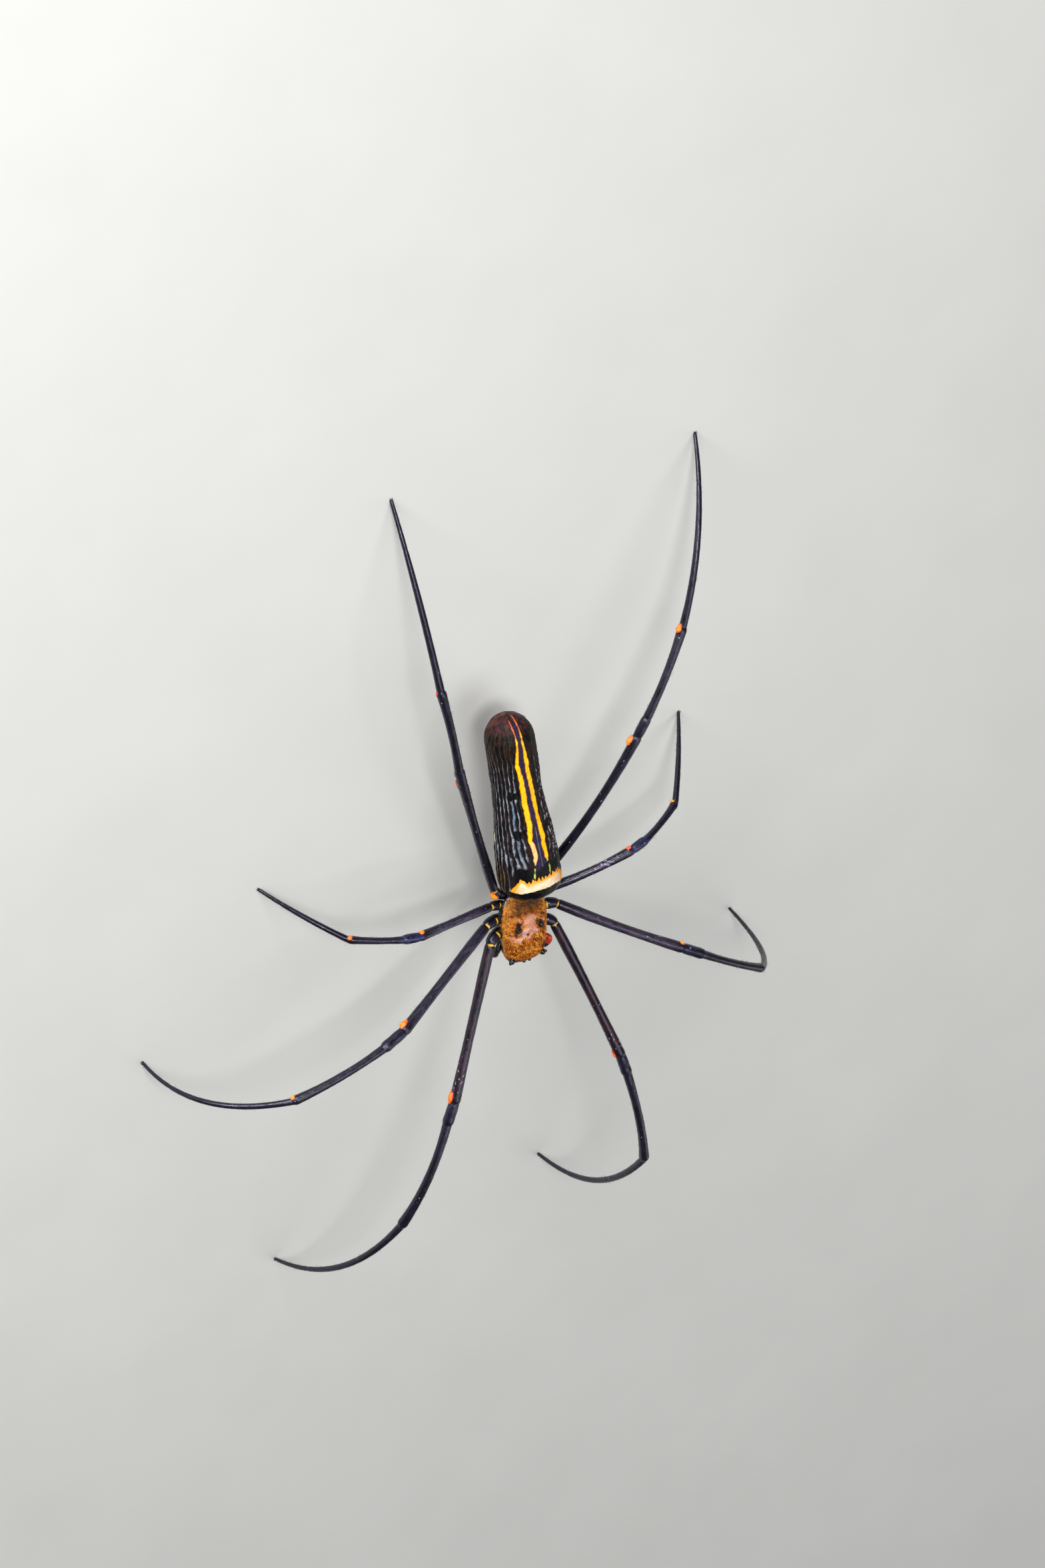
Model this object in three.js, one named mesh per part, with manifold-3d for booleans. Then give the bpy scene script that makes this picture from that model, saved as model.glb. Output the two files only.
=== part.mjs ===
// A female golden silk orb weaver, life size, standing on level ground with its legs spread
// two and two as it holds them in its web. Millimetres, +Z up, head towards -Y,
// the animal's left side towards +X, origin on the ground at the middle of its outline.
import * as THREE from 'three';
import { mergeVertices } from 'three/addons/utils/BufferGeometryUtils.js';
import Module from 'manifold-3d';

const wasm = await Module();
wasm.setup();

// Fits
const GAP = 0.3;               // air between pieces that meet
const EYE_GAP = 0.1;           // air under an eye's lens
const WELD = 1e-4;             // points closer than this are one point

// Stance
const BODY_HEIGHT = 13.5;      // the body's leg line above the ground
const BODY_PITCH = 8;          // degrees, head raised
const FOOT_RADIUS = 0.27;      // half width of the flat under each claw tip

// Carapace, in the body's own frame: x to the left, y to the rear, z up, zero at the leg line
const CARAPACE_FLOOR = -0.35;  // flat underside, above the leg roots
const CARAPACE_RINGS = 24;
const CARAPACE_SIDES = 32;
const CARAPACE_STATIONS = [    // y, half width, height of the back above the leg line
  [5.3, 1.1, 0.3],
  [4.5, 2.7, 0.85],
  [2.7, 4.1, 1.5],
  [0.6, 4.65, 1.95],
  [-1.4, 4.45, 2.5],
  [-3.6, 4.0, 2.85],
  [-5.6, 3.65, 2.75],
  [-7.0, 3.2, 2.2],
  [-7.9, 2.4, 1.1],
];
const CARAPACE_ARCH = { thorax: 2.4, head: 3.4, from: 0.5, to: -4.5 };  // 2 is a half circle, more is boxier
const HORN = { x: 2.05, y: -0.95, z: 2.3, radius: 0.5, tip_radius: 0.12, height: 0.75, lean: 0.25 };
const EYE_TUBERCLE = { x: 2.95, y: -6.85, z: 1.75, radius: 0.6 };

// Eyes: place beside the middle line, front to back, height, lens radius
const EYES = {
  eye_front_middle: [0.42, -7.92, 0.75, 0.32],
  eye_rear_middle: [0.52, -7.6, 1.6, 0.3],
  eye_front_side: [3.2, -7.3, 1.65, 0.26],
  eye_rear_side: [3.4, -6.75, 2.0, 0.26],
};

// Underside of the front body
const STERNUM = { front: -3.4, rear: 4.5, half: 2.35, widest: 0.35, middle: -1.6, half_height: 0.93 };
const MOUTH = { front: -5.3, rear: -3.7, half: 1.75, middle: -1.75, half_height: 1.05 };

// Jaws, beside the middle line, with half widths from the top down, and the fangs folded under them
const CHELICERA = { x: 1.38, y: -6.4, top: 0.2, bottom: -4.4, lean: -0.55 };
const CHELICERA_RADII = [1.08, 1.2, 1.2, 1.08, 0.95, 0.52];
const FANG = { length: 2.1, curl: 0.55, turn_in: 0.2, point_x: 0.5 };
const FANG_RADII = [0.3, 0.3, 0.25, 0.2, 0.14, 0.08];

// Palps, in the body's frame: points from root to tip beside the middle line, and half widths
const PALP_ROUTES = {
  L: [[2.25, -4.3, -1.9], [3.9, -4.9, -0.9], [5.2, -5.7, 0.2], [5.1, -7.3, -0.8], [4.1, -8.6, -3.0]],
  R: [[2.25, -4.3, -1.9], [3.2, -4.9, -1.5], [3.8, -5.8, -1.3], [3.8, -7.2, -2.2], [3.1, -7.9, -4.2]],
};
const PALP_RADII = [0.42, 0.49, 0.52, 0.52, 0.47, 0.52, 0.53, 0.52, 0.57, 0.6, 0.55, 0.31];

// Abdomen: a club on its own axis, from the front pole to the rear pole
const ABDOMEN = {
  front: [0.5, 6.0, 1.6],      // front pole, row frame, height from the leg line
  yaw: 7.5,                    // degrees, tail towards the animal's right
  droop: 10,                   // degrees, tail down
  length: 33.8,
  shoulder: 5.25,              // half widths: shoulder, waist and rounded rear
  waist: 4.05,
  club: 4.12,
  shoulder_at: 0.16,           // where along the length each one lies
  waist_at: 0.62,
  club_at: 0.86,
  back_ratio: 0.96,            // half height over half width, above and below the axis
  belly_ratio: 1.08,
  front_cap: 3.0,              // lengths over which the two ends round off
  rear_cap: 4.6,
  front_fullness: 2.4,         // 2 is a half circle, more is blunter
};
const ABDOMEN_RINGS = 28;
const ABDOMEN_SIDES = 32;
const PEDICEL = { y: 3.6, z: -1.2, radius: 0.85, into_abdomen: 3, aside: -0.6, below_axis: 3.4 };
const SPINNERETS = { at: 0.8, length: 2.3, sunk: 1.2, spread: 0.85, lean: 25 };
const SPINNERET_RADII = [0.78, 0.74, 0.62, 0.28];

// Hips, pair by pair, in the body's frame: root beside the breast plate and outer end
const HIPS = {
  1: { root: [1.6, -2.2, -1.75], end: [6.2, -3.3, 0.2] },
  2: { root: [1.7, -0.4, -1.75], end: [6.9, 0.2, 0] },
  3: { root: [1.6, 1.5, -1.75], end: [5.6, 3.2, -0.7] },
  4: { root: [0.9, 3.4, -1.75], end: [4.8, 6.2, -0.9] },
};

// Segment lengths, pair by pair, and the upward bow of the tibia as a share of its length
const LENGTHS = {
  1: { femur: 27, patella: 4, tibia: 20, foot: 34.5, tibia_bow: 0.06 },
  2: { femur: 23, patella: 4.5, tibia: 17, foot: 27, tibia_bow: 0.035 },
  3: { femur: 15, patella: 3, tibia: 9, foot: 16.5, tibia_bow: 0.03 },
  4: { femur: 29, patella: 3.5, tibia: 16, foot: 31, tibia_bow: 0.03 },
};

// Pose of each leg in degrees. Headings turn from straight ahead towards the leg's own side,
// rises and lifts are above level, bows and arches are shares of a segment's length.
// The foot's drop isn't given: it is what brings the tip to the ground.
const POSES = {
  R1: { femur: 22, rise: 17, bow: 0, tibia: 24, lift: 3, foot: 22, arch: 0.12 },
  R2: { femur: 67, rise: 21, bow: 0, tibia: 73, lift: -1, foot: 79, arch: 0.17 },
  R3: { femur: 93, rise: 9, bow: 0, tibia: 95, lift: -21, foot: 120, arch: 0.05 },
  R4: { femur: 159, rise: 7, bow: -0.01, tibia: 166, lift: -4, foot: 175, arch: 0.02 },
  L1: { femur: 20, rise: 24, bow: 0.02, tibia: 13, lift: 5, foot: -5, arch: 0.125 },
  L2: { femur: 66, rise: 28, bow: 0.03, tibia: 57, lift: -5, foot: 54, arch: 0.11 },
  L3: { femur: 112, rise: 13, bow: 0.03, tibia: 108, lift: -23, foot: 138, arch: 0.02 },
  L4: { femur: 153, rise: 7, bow: 0.035, tibia: 155, lift: -8, foot: 164, arch: 0.075 },
};

// Leg thickness as half widths along each segment, root to end, and each pair's share of it
const LEG_SIDES = 10;
const HIP_RADII = [0.7, 0.95, 1.05, 0.95, 0.85];
const FEMUR_RADII = [0.85, 0.9, 0.84, 0.8, 0.8, 0.88, 0.96];
const PATELLA_RADII = [0.92, 0.9, 0.98];
const TIBIA_RADII = [0.72, 0.63, 0.64, 0.68, 0.8];
const FOOT_RADII = [0.58, 0.52, 0.5, 0.48, 0.46, 0.43, 0.39, 0.35, 0.31, FOOT_RADIUS];
const PAIR_GIRTH = {
  1: { upper: 1, tibia: 1.12, foot: 1.15 },
  2: { upper: 0.98, tibia: 1, foot: 0.97 },
  3: { upper: 0.86, tibia: 0.86, foot: 0.95 },
  4: { upper: 0.88, tibia: 1.04, foot: 1.13 },
};
const TROCHANTER = 1.6;        // length of the short turn between hip and femur

// Finishes
const FINISH = {
  carapace: { color: 0xb4701f, roughness: 0.85 },
  underside: { color: 0x2a1c14, roughness: 0.6 },
  abdomen: { color: 0x2b2126, roughness: 0.45 },
  leg: { color: 0x17131c, roughness: 0.35 },
  palp: { color: 0x5c1a10, roughness: 0.5 },
  jaw: { color: 0x120e10, roughness: 0.25 },
  fang: { color: 0x1a0906, roughness: 0.2 },
  eye: { color: 0x050505, roughness: 0.08 },
  spinneret: { color: 0x3a1d18, roughness: 0.6 },
};

const radians = THREE.MathUtils.degToRad;
const UP = new THREE.Vector3(0, 0, 1);
const LEFT = new THREE.Vector3(1, 0, 0);

// Share of a length at which a ring lies when the rings crowd towards both ends
const POLE_STEP = 0.25;
const crowded = (index, rings) => (
  0.5 - 0.5 * Math.cos((Math.PI * (index + POLE_STEP)) / (rings - 1 + 2 * POLE_STEP)));

// Skin a closed body over rings that follow one another along the piece
function skinRings(rings) {
  const sides = rings[0].length;
  const middle = (ring) => ring.reduce((sum, p) => sum.add(p), new THREE.Vector3()).divideScalar(sides);
  const points = [...rings.flat(), middle(rings[0]), middle(rings.at(-1))];
  const start = rings.length * sides;
  const end = start + 1;
  const last = (rings.length - 1) * sides;
  const faces = [];
  for (let side = 0; side < sides; side += 1) {
    const next = (side + 1) % sides;
    for (let ring = 0; ring < last; ring += sides) {
      faces.push(ring + side, ring + next, ring + sides + next);
      faces.push(ring + side, ring + sides + next, ring + sides + side);
    }
    faces.push(start, next, side);
    faces.push(end, last + side, last + next);
  }
  const geometry = new THREE.BufferGeometry().setFromPoints(points);
  geometry.setIndex(faces);
  return geometry;
}

// One ring of an egg shape, square to the way it faces, turned from the given side direction,
// with its own half heights above and below
function eggRing(centre, facing, side, wide, above, below, sides) {
  const up = new THREE.Vector3().crossVectors(side, facing);
  return Array.from({ length: sides }, (_, index) => {
    const angle = (-2 * Math.PI * index) / sides;
    const rise = Math.sin(angle);
    return centre.clone()
      .addScaledVector(side, wide * Math.cos(angle))
      .addScaledVector(up, rise * (rise > 0 ? above : below));
  });
}

const ovalRing = (centre, facing, side, wide, high, sides) => (
  eggRing(centre, facing, side, wide, high, high, sides));

// Slide a ring's points along its own facing until they lie in a plane
function mitre(ring, facing, centre, normal) {
  const slant = facing.dot(normal);
  return ring.map((point) => {
    const off = point.clone().sub(centre).dot(normal);
    return point.clone().addScaledVector(facing, -off / slant);
  });
}

// A node of the model: a named mesh in its finish
function piece(name, geometry, finish) {
  const mesh = new THREE.Mesh(geometry, new THREE.MeshStandardMaterial({ ...FINISH[finish], metalness: 0 }));
  mesh.name = name;
  return mesh;
}

// Bodies for cutting and joining
function solidOf(geometry) {
  const bare = geometry.clone();
  bare.deleteAttribute('normal');
  bare.deleteAttribute('uv');
  const welded = mergeVertices(bare, WELD);
  return new wasm.Manifold(new wasm.Mesh({
    numProp: 3,
    vertProperties: welded.attributes.position.array,
    triVerts: new Uint32Array(welded.index.array),
  }));
}

function largestOf(solid) {
  const shells = solid.decompose().sort((a, b) => b.volume() - a.volume());
  const mesh = shells[0].getMesh();
  const geometry = new THREE.BufferGeometry();
  geometry.setAttribute('position', new THREE.BufferAttribute(mesh.vertProperties, 3));
  geometry.setIndex(new THREE.BufferAttribute(mesh.triVerts, 1));
  return geometry;
}

const join = (geometries) => largestOf(geometries.map(solidOf).reduce((sum, solid) => sum.add(solid)));
const cut = (geometry, tools) => largestOf(tools.map(solidOf).reduce((rest, tool) => rest.subtract(tool),
  solidOf(geometry)));

// Points of the body's own frame as they stand over the ground
const bodyPlace = new THREE.Matrix4().makeTranslation(0, 0, BODY_HEIGHT)
  .multiply(new THREE.Matrix4().makeRotationX(-radians(BODY_PITCH)));
const inBody = (x, y, z) => new THREE.Vector3(x, y, z).applyMatrix4(bodyPlace);

// Front body: the carapace with its pair of horns and the eye tubercles
function carapaceGeometry(grow = 0) {
  const profile = new THREE.CatmullRomCurve3(CARAPACE_STATIONS.map((row) => new THREE.Vector3(...row)));
  const floor = CARAPACE_FLOOR - grow;
  return skinRings(profile.getSpacedPoints(CARAPACE_RINGS - 1).map((station, index) => {
    const ends = { 0: grow, [CARAPACE_RINGS - 1]: -grow }[index] ?? 0;
    const half = station.y + grow;
    const rise = station.z + grow - floor;
    const headward = THREE.MathUtils.smoothstep(-station.x, -CARAPACE_ARCH.from, -CARAPACE_ARCH.to);
    const boxy = THREE.MathUtils.lerp(CARAPACE_ARCH.thorax, CARAPACE_ARCH.head, headward);
    return Array.from({ length: CARAPACE_SIDES }, (_, side) => {
      const angle = (2 * Math.PI * side) / CARAPACE_SIDES;
      const across = -Math.cos(angle);
      const above = Math.max(0, Math.sin(angle));
      const arch = above === 0 ? 0 : (1 - Math.abs(across) ** boxy) ** (1 / boxy);
      return inBody(-half * across, station.x + ends, floor + rise * arch);
    });
  }));
}

function bump(x, y, z, radius) {
  const dome = new THREE.SphereGeometry(radius, 12, 8);
  dome.translate(x, y, z);
  return dome.applyMatrix4(bodyPlace);
}

function horn(side) {
  const cone = new THREE.CylinderGeometry(HORN.tip_radius, HORN.radius, 2 * HORN.height, 8);
  cone.rotateX(Math.PI / 2);
  cone.rotateY(side * HORN.lean);
  cone.translate(side * HORN.x, HORN.y, HORN.z);
  return cone.applyMatrix4(bodyPlace);
}

const bothSides = { R: -1, L: 1 };
const model = new THREE.Group();
const carapaceGrown = carapaceGeometry(GAP);
const tubercles = Object.values(bothSides).map((side) => (
  bump(side * EYE_TUBERCLE.x, EYE_TUBERCLE.y, EYE_TUBERCLE.z, EYE_TUBERCLE.radius)));
const carapace = join([carapaceGeometry(), ...tubercles, ...Object.values(bothSides).map(horn)]);
model.add(piece('carapace', carapace, 'carapace'));

// Eight eyes, each a lens seated on the carapace
const eyeSocket = join([carapaceGeometry(EYE_GAP), ...Object.values(bothSides).map((side) => (
  bump(side * EYE_TUBERCLE.x, EYE_TUBERCLE.y, EYE_TUBERCLE.z, EYE_TUBERCLE.radius + EYE_GAP)))]);
for (const [name, [x, y, z, radius]] of Object.entries(EYES)) {
  for (const [letter, side] of Object.entries(bothSides)) {
    model.add(piece(`${name}_${letter}`, cut(bump(side * x, y, z, radius), [eyeSocket]), 'eye'));
  }
}

// Underside: the breast plate that the legs spring from, and the mouth plates ahead of it
const PLATE_RINGS = 12;
const PLATE_SIDES = 20;
function plateGeometry({ front, rear, half, middle, half_height, widest = 0.5 }, grow = 0) {
  const facing = inBody(0, 1, 0).sub(inBody(0, 0, 0));
  return skinRings(Array.from({ length: PLATE_RINGS }, (_, index) => {
    const along = crowded(index, PLATE_RINGS);
    const skew = along ** (Math.log(0.5) / Math.log(widest));
    const swell = Math.sqrt(Math.sin(Math.PI * skew));
    const y = front - grow + (rear - front + 2 * grow) * along;
    return ovalRing(inBody(0, y, middle), facing, LEFT.clone().negate(),
      half * swell + grow, half_height * swell ** 0.5 + grow, PLATE_SIDES);
  }));
}
const sternumGrown = plateGeometry(STERNUM, GAP);
const mouthGrown = plateGeometry(MOUTH, GAP);
model.add(piece('sternum', plateGeometry(STERNUM), 'underside'));
model.add(piece('mouthparts', cut(plateGeometry(MOUTH), [sternumGrown]), 'underside'));

// A limb along a curve: rings square to it, with cut ends that face the next piece
function limbGeometry(curve, radii, { sides = LEG_SIDES, grow = 0, startNormal, endNormal, side } = {}) {
  const count = radii.length;
  const rings = radii.map((radius, index) => {
    const centre = curve.getPoint(index / (count - 1));
    const facing = curve.getTangent(index / (count - 1)).normalize();
    const across = side.clone().addScaledVector(facing, -side.dot(facing)).normalize();
    const ring = ovalRing(centre, facing, across, radius + grow, radius + grow, sides);
    if (index === 0 && startNormal) return mitre(ring, facing, centre, startNormal);
    if (index === count - 1 && endNormal) return mitre(ring, facing, centre, endNormal);
    return ring;
  });
  return skinRings(rings);
}

// Direction of a heading and a rise, for a leg on the given side
function bearing(heading, rise, side) {
  const level = Math.cos(radians(rise));
  return new THREE.Vector3(
    side * Math.sin(radians(heading)) * level,
    -Math.cos(radians(heading)) * level,
    Math.sin(radians(rise)),
  );
}

// A curve between two points that bows upwards by a share of its length
function archedCurve(start, end, arch) {
  const chord = end.clone().sub(start);
  const facing = chord.clone().normalize();
  const upwards = UP.clone().addScaledVector(facing, -facing.z).normalize();
  const control = start.clone().add(end).multiplyScalar(0.5)
    .addScaledVector(upwards, 2 * arch * chord.length());
  return new THREE.QuadraticBezierCurve3(start, control, end);
}

// The same curve with half a gap taken off each end that meets a neighbour
function trimmed(curve, atStart, atEnd) {
  const start = curve.v0.clone().addScaledVector(curve.getTangent(0).normalize(), atStart);
  const end = curve.v2.clone().addScaledVector(curve.getTangent(1).normalize(), -atEnd);
  return new THREE.QuadraticBezierCurve3(start, curve.v1, end);
}

const halfway = (a, b) => a.clone().add(b).normalize();

// One leg: hip, femur, patella, tibia and foot, each meeting the next in a shared mitre
function legCurves(name) {
  const side = bothSides[name[0]];
  const pair = LENGTHS[name[1]];
  const pose = POSES[name];
  const [root, hip] = Object.values(HIPS[name[1]]).map(([x, y, z]) => inBody(side * x, y, z));
  const femurWay = bearing(pose.femur, pose.rise, side);
  const tibiaWay = bearing(pose.tibia, pose.lift, side);
  const knee = hip.clone().addScaledVector(femurWay, pair.femur);
  const patellaEnd = knee.clone().addScaledVector(halfway(femurWay, tibiaWay), pair.patella);
  const tibiaEnd = patellaEnd.clone().addScaledVector(tibiaWay, pair.tibia);
  const drop = -THREE.MathUtils.radToDeg(Math.asin(tibiaEnd.z / pair.foot));
  const tip = tibiaEnd.clone().addScaledVector(bearing(pose.foot, drop, side), pair.foot);
  const turn = hip.clone().addScaledVector(femurWay, -TROCHANTER);
  return {
    hip: new THREE.QuadraticBezierCurve3(root, turn, hip),
    femur: archedCurve(hip, knee, pose.bow),
    patella: archedCurve(knee, patellaEnd, 0),
    tibia: archedCurve(patellaEnd, tibiaEnd, pair.tibia_bow),
    foot: archedCurve(tibiaEnd, tip, pose.arch),
  };
}

const SEGMENTS = {
  hip: HIP_RADII, femur: FEMUR_RADII, patella: PATELLA_RADII, tibia: TIBIA_RADII, foot: FOOT_RADII,
};
const order = Object.keys(SEGMENTS);

function legPieces(name, grow = 0) {
  const curves = legCurves(name);
  const girth = PAIR_GIRTH[name[1]];
  return Object.fromEntries(order.map((segment, index) => {
    const curve = curves[segment];
    const before = curves[order[index - 1]];
    const after = curves[order[index + 1]];
    const chord = curve.v2.clone().sub(curve.v0);
    const side = new THREE.Vector3().crossVectors(chord, UP).normalize();
    const startNormal = before && halfway(before.getTangent(1), curve.getTangent(0));
    const endNormal = after ? halfway(after.getTangent(0), curve.getTangent(1)) : UP.clone().negate();
    const fitted = trimmed(curve, before ? GAP / 2 : 0, after ? GAP / 2 : 0);
    const radii = SEGMENTS[segment].map((radius) => radius * (girth[segment] ?? girth.upper));
    return [segment, limbGeometry(fitted, radii, { grow, startNormal, endNormal, side })];
  }));
}

// Hips are seated against the breast plate and clear of the hip in front
const hipNeighbour = { 1: null, 2: '1', 3: '2', 4: '3' };
for (const name of Object.keys(POSES)) {
  const pieces = legPieces(name);
  const ahead = hipNeighbour[name[1]];
  const clearOf = [sternumGrown, carapaceGrown];
  if (ahead) clearOf.push(legPieces(name[0] + ahead, GAP).hip);
  pieces.hip = cut(pieces.hip, clearOf);
  for (const [segment, geometry] of Object.entries(pieces)) {
    model.add(piece(`leg_${name}_${segment}`, geometry, 'leg'));
  }
}

// Jaws: a stout base on each side and a folded fang under it
for (const [letter, side] of Object.entries(bothSides)) {
  const top = inBody(side * CHELICERA.x, CHELICERA.y, CHELICERA.top);
  const bottom = inBody(side * CHELICERA.x, CHELICERA.y + CHELICERA.lean, CHELICERA.bottom);
  const line = new THREE.LineCurve3(top, bottom);
  const jaw = limbGeometry(line, CHELICERA_RADII, { sides: 12, side: LEFT });
  model.add(piece(`chelicera_${letter}`, cut(jaw, [carapaceGrown, mouthGrown]), 'jaw'));
  const base = bottom.clone().add(inBody(0, 0, -GAP).sub(inBody(0, 0, 0)));
  const under = CHELICERA.bottom - GAP;
  const front = CHELICERA.y + CHELICERA.lean;
  const fold = inBody(side * (CHELICERA.x - FANG.turn_in), front + FANG.curl, under - FANG.curl);
  const point = inBody(side * FANG.point_x, front + FANG.length, under);
  const hook = new THREE.QuadraticBezierCurve3(base, fold, point);
  const startNormal = base.clone().sub(top).normalize();
  const fang = limbGeometry(hook, FANG_RADII, { sides: 8, side: LEFT, startNormal });
  model.add(piece(`fang_${letter}`, fang, 'fang'));
}

// Palps: a short feeler on each side of the jaws
for (const [letter, side] of Object.entries(bothSides)) {
  const route = PALP_ROUTES[letter].map(([x, y, z]) => inBody(side * x, y, z));
  const curve = new THREE.CatmullRomCurve3(route);
  const palp = limbGeometry(curve, PALP_RADII, { sides: 8, side: UP });
  model.add(piece(`palp_${letter}`, cut(palp, [mouthGrown, carapaceGrown]), 'palp'));
}

// Abdomen: half width at a share of its length, blended between shoulder, waist and club
function abdomenRadius(share) {
  const { shoulder, waist, club, shoulder_at, waist_at, club_at } = ABDOMEN;
  const blend = (from, to, low, high) => (
    THREE.MathUtils.lerp(low, high, THREE.MathUtils.smoothstep(share, from, to)));
  if (share < waist_at) return blend(shoulder_at, waist_at, shoulder, waist);
  return blend(waist_at, club_at, waist, club);
}

function abdomenCap(along) {
  const { length, front_cap, rear_cap, front_fullness } = ABDOMEN;
  if (along < front_cap) return (1 - (1 - along / front_cap) ** front_fullness) ** (1 / front_fullness);
  const left = length - along;
  if (left < rear_cap) return Math.sqrt(1 - (1 - left / rear_cap) ** 2);
  return 1;
}

const abdomenWay = bearing(180 + ABDOMEN.yaw, -ABDOMEN.droop, 1);
const abdomenSide = new THREE.Vector3().crossVectors(abdomenWay, UP).normalize();
const abdomenFront = new THREE.Vector3(ABDOMEN.front[0], ABDOMEN.front[1], ABDOMEN.front[2] + BODY_HEIGHT);
const onAxis = (along) => abdomenFront.clone().addScaledVector(abdomenWay, along);

function abdomenGeometry(grow = 0) {
  return skinRings(Array.from({ length: ABDOMEN_RINGS }, (_, index) => {
    const share = crowded(index, ABDOMEN_RINGS);
    const along = share * ABDOMEN.length;
    const radius = abdomenRadius(share) * abdomenCap(along);
    const centre = onAxis((share - 0.5) * (ABDOMEN.length + 2 * grow) + ABDOMEN.length / 2);
    return eggRing(centre, abdomenWay, abdomenSide, radius + grow, radius * ABDOMEN.back_ratio + grow,
      radius * ABDOMEN.belly_ratio + grow, ABDOMEN_SIDES);
  }));
}
const abdomenGrown = abdomenGeometry(GAP);
model.add(piece('abdomen', cut(abdomenGeometry(), [carapaceGrown]), 'abdomen'));

// Pedicel: the narrow waist between the two halves of the body
const pedicelEnd = onAxis(PEDICEL.into_abdomen).add(new THREE.Vector3(PEDICEL.aside, 0, -PEDICEL.below_axis));
const pedicelLine = new THREE.LineCurve3(inBody(0, PEDICEL.y, PEDICEL.z), pedicelEnd);
const pedicel = limbGeometry(pedicelLine, Array(3).fill(PEDICEL.radius), { sides: 12, side: LEFT });
model.add(piece('pedicel', cut(pedicel, [carapaceGrown, sternumGrown, abdomenGrown]), 'underside'));

// Spinnerets: a cluster of short cones under the rear of the abdomen
const spinneretUp = new THREE.Vector3().crossVectors(abdomenSide, abdomenWay);
const spinneretLean = Math.tan(radians(SPINNERETS.lean));
const cluster = [[-1, -1], [1, -1], [-1, 1], [1, 1], [0, 0]].map(([across, along]) => {
  const { at, length, sunk, spread } = SPINNERETS;
  const middle = onAxis(at * ABDOMEN.length);
  const root = middle.clone()
    .addScaledVector(spinneretUp, sunk - ABDOMEN.waist)
    .addScaledVector(abdomenSide, across * spread)
    .addScaledVector(abdomenWay, along * spread);
  const end = middle.clone()
    .addScaledVector(spinneretUp, -length - ABDOMEN.waist)
    .addScaledVector(abdomenSide, across * spread * (1 - spinneretLean / 2))
    .addScaledVector(abdomenWay, along * spread + spinneretLean);
  return limbGeometry(new THREE.LineCurve3(root, end), SPINNERET_RADII, { sides: 8, side: abdomenSide });
});
model.add(piece('spinnerets', cut(join(cluster), [abdomenGrown]), 'spinneret'));

// The origin is on the ground at the middle of the outline
const group = new THREE.Group();
group.add(model);
const outline = new THREE.Box3().setFromObject(group, true);
const centre = outline.getCenter(new THREE.Vector3());
model.position.set(-centre.x, -centre.y, 0);

export default group;
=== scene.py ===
import math

import bpy
import numpy as np
from mathutils import Matrix, Vector


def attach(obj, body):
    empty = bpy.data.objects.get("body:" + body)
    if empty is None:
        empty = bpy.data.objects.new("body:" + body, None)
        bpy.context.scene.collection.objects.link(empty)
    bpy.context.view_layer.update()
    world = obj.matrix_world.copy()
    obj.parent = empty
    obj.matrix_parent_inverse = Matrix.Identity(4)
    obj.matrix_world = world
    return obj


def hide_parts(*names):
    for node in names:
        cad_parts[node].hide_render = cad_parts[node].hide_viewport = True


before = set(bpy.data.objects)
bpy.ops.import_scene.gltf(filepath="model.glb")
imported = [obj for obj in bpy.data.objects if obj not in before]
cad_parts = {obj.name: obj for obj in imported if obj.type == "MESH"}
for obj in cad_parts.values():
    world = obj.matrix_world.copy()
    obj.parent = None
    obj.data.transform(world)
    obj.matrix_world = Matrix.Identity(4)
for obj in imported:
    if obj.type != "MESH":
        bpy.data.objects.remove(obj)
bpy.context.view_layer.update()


# Abdomen. A long club of soft skin that hangs on the narrow waist of the body, broad at the
# shoulder, slimmer in the middle and rounded at the tail. Its dark ground has silvery lengthwise
# lines on the flanks, two yellow stripes on the back and a cream band over the shoulder.
MM = 0.001                        # sizes are in millimetres, turned to metres when a piece is made
BODY_HEIGHT = 13.5
MIDDLE = np.array([4.09, -3.572, 0.0])            # brings the middle of the outline to the origin
UP = np.array([0.0, 0.0, 1.0])
ABDOMEN = {
    "front": np.array([0.5, 6.0, 1.6 + BODY_HEIGHT]) + MIDDLE,
    "yaw": math.radians(7.5),
    "droop": math.radians(10),
    "length": 33.8,
    "shoulder": (0.16, 5.25),
    "waist": (0.62, 4.05),
    "club": (0.86, 4.12),
    "back_ratio": 0.96,
    "belly_ratio": 1.08,
    "front_cap": 3.0,
    "rear_cap": 4.6,
    "front_fullness": 2.4,
}
ABDOMEN_RINGS = 340
ABDOMEN_SIDES = 260
STRIPES = {                       # along, middle aside from the back line, half width
    "R": [(7.9, -1.2, 0.12), (9.1, -0.97, 0.4), (10.4, -0.9, 0.42), (11.6, -1.02, 0.43),
          (12.3, -1.3, 0.33), (13.2, -1.15, 0.42), (15.0, -0.91, 0.47), (19.0, -0.98, 0.49),
          (23.0, -0.98, 0.42), (25.0, -1.14, 0.38), (26.4, -1.36, 0.33), (27.9, -1.12, 0.27),
          (29.4, -0.94, 0.19), (30.5, -0.78, 0.14), (32.0, -0.7, 0.11), (33.4, -0.52, 0.06)],
    "L": [(7.9, 1.14, 0.12), (8.8, 1.15, 0.36), (10.2, 1.06, 0.41), (11.5, 1.0, 0.42),
          (12.5, 1.12, 0.48), (14.0, 1.0, 0.47), (17.0, 0.82, 0.42), (20.0, 0.75, 0.45),
          (23.0, 0.55, 0.44), (25.6, 0.3, 0.38), (27.2, 0.36, 0.38), (28.6, 0.28, 0.3),
          (29.6, 0.23, 0.22), (30.5, 0.22, 0.17), (31.7, 0.3, 0.12), (33.7, 0.52, 0.09)],
}
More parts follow.
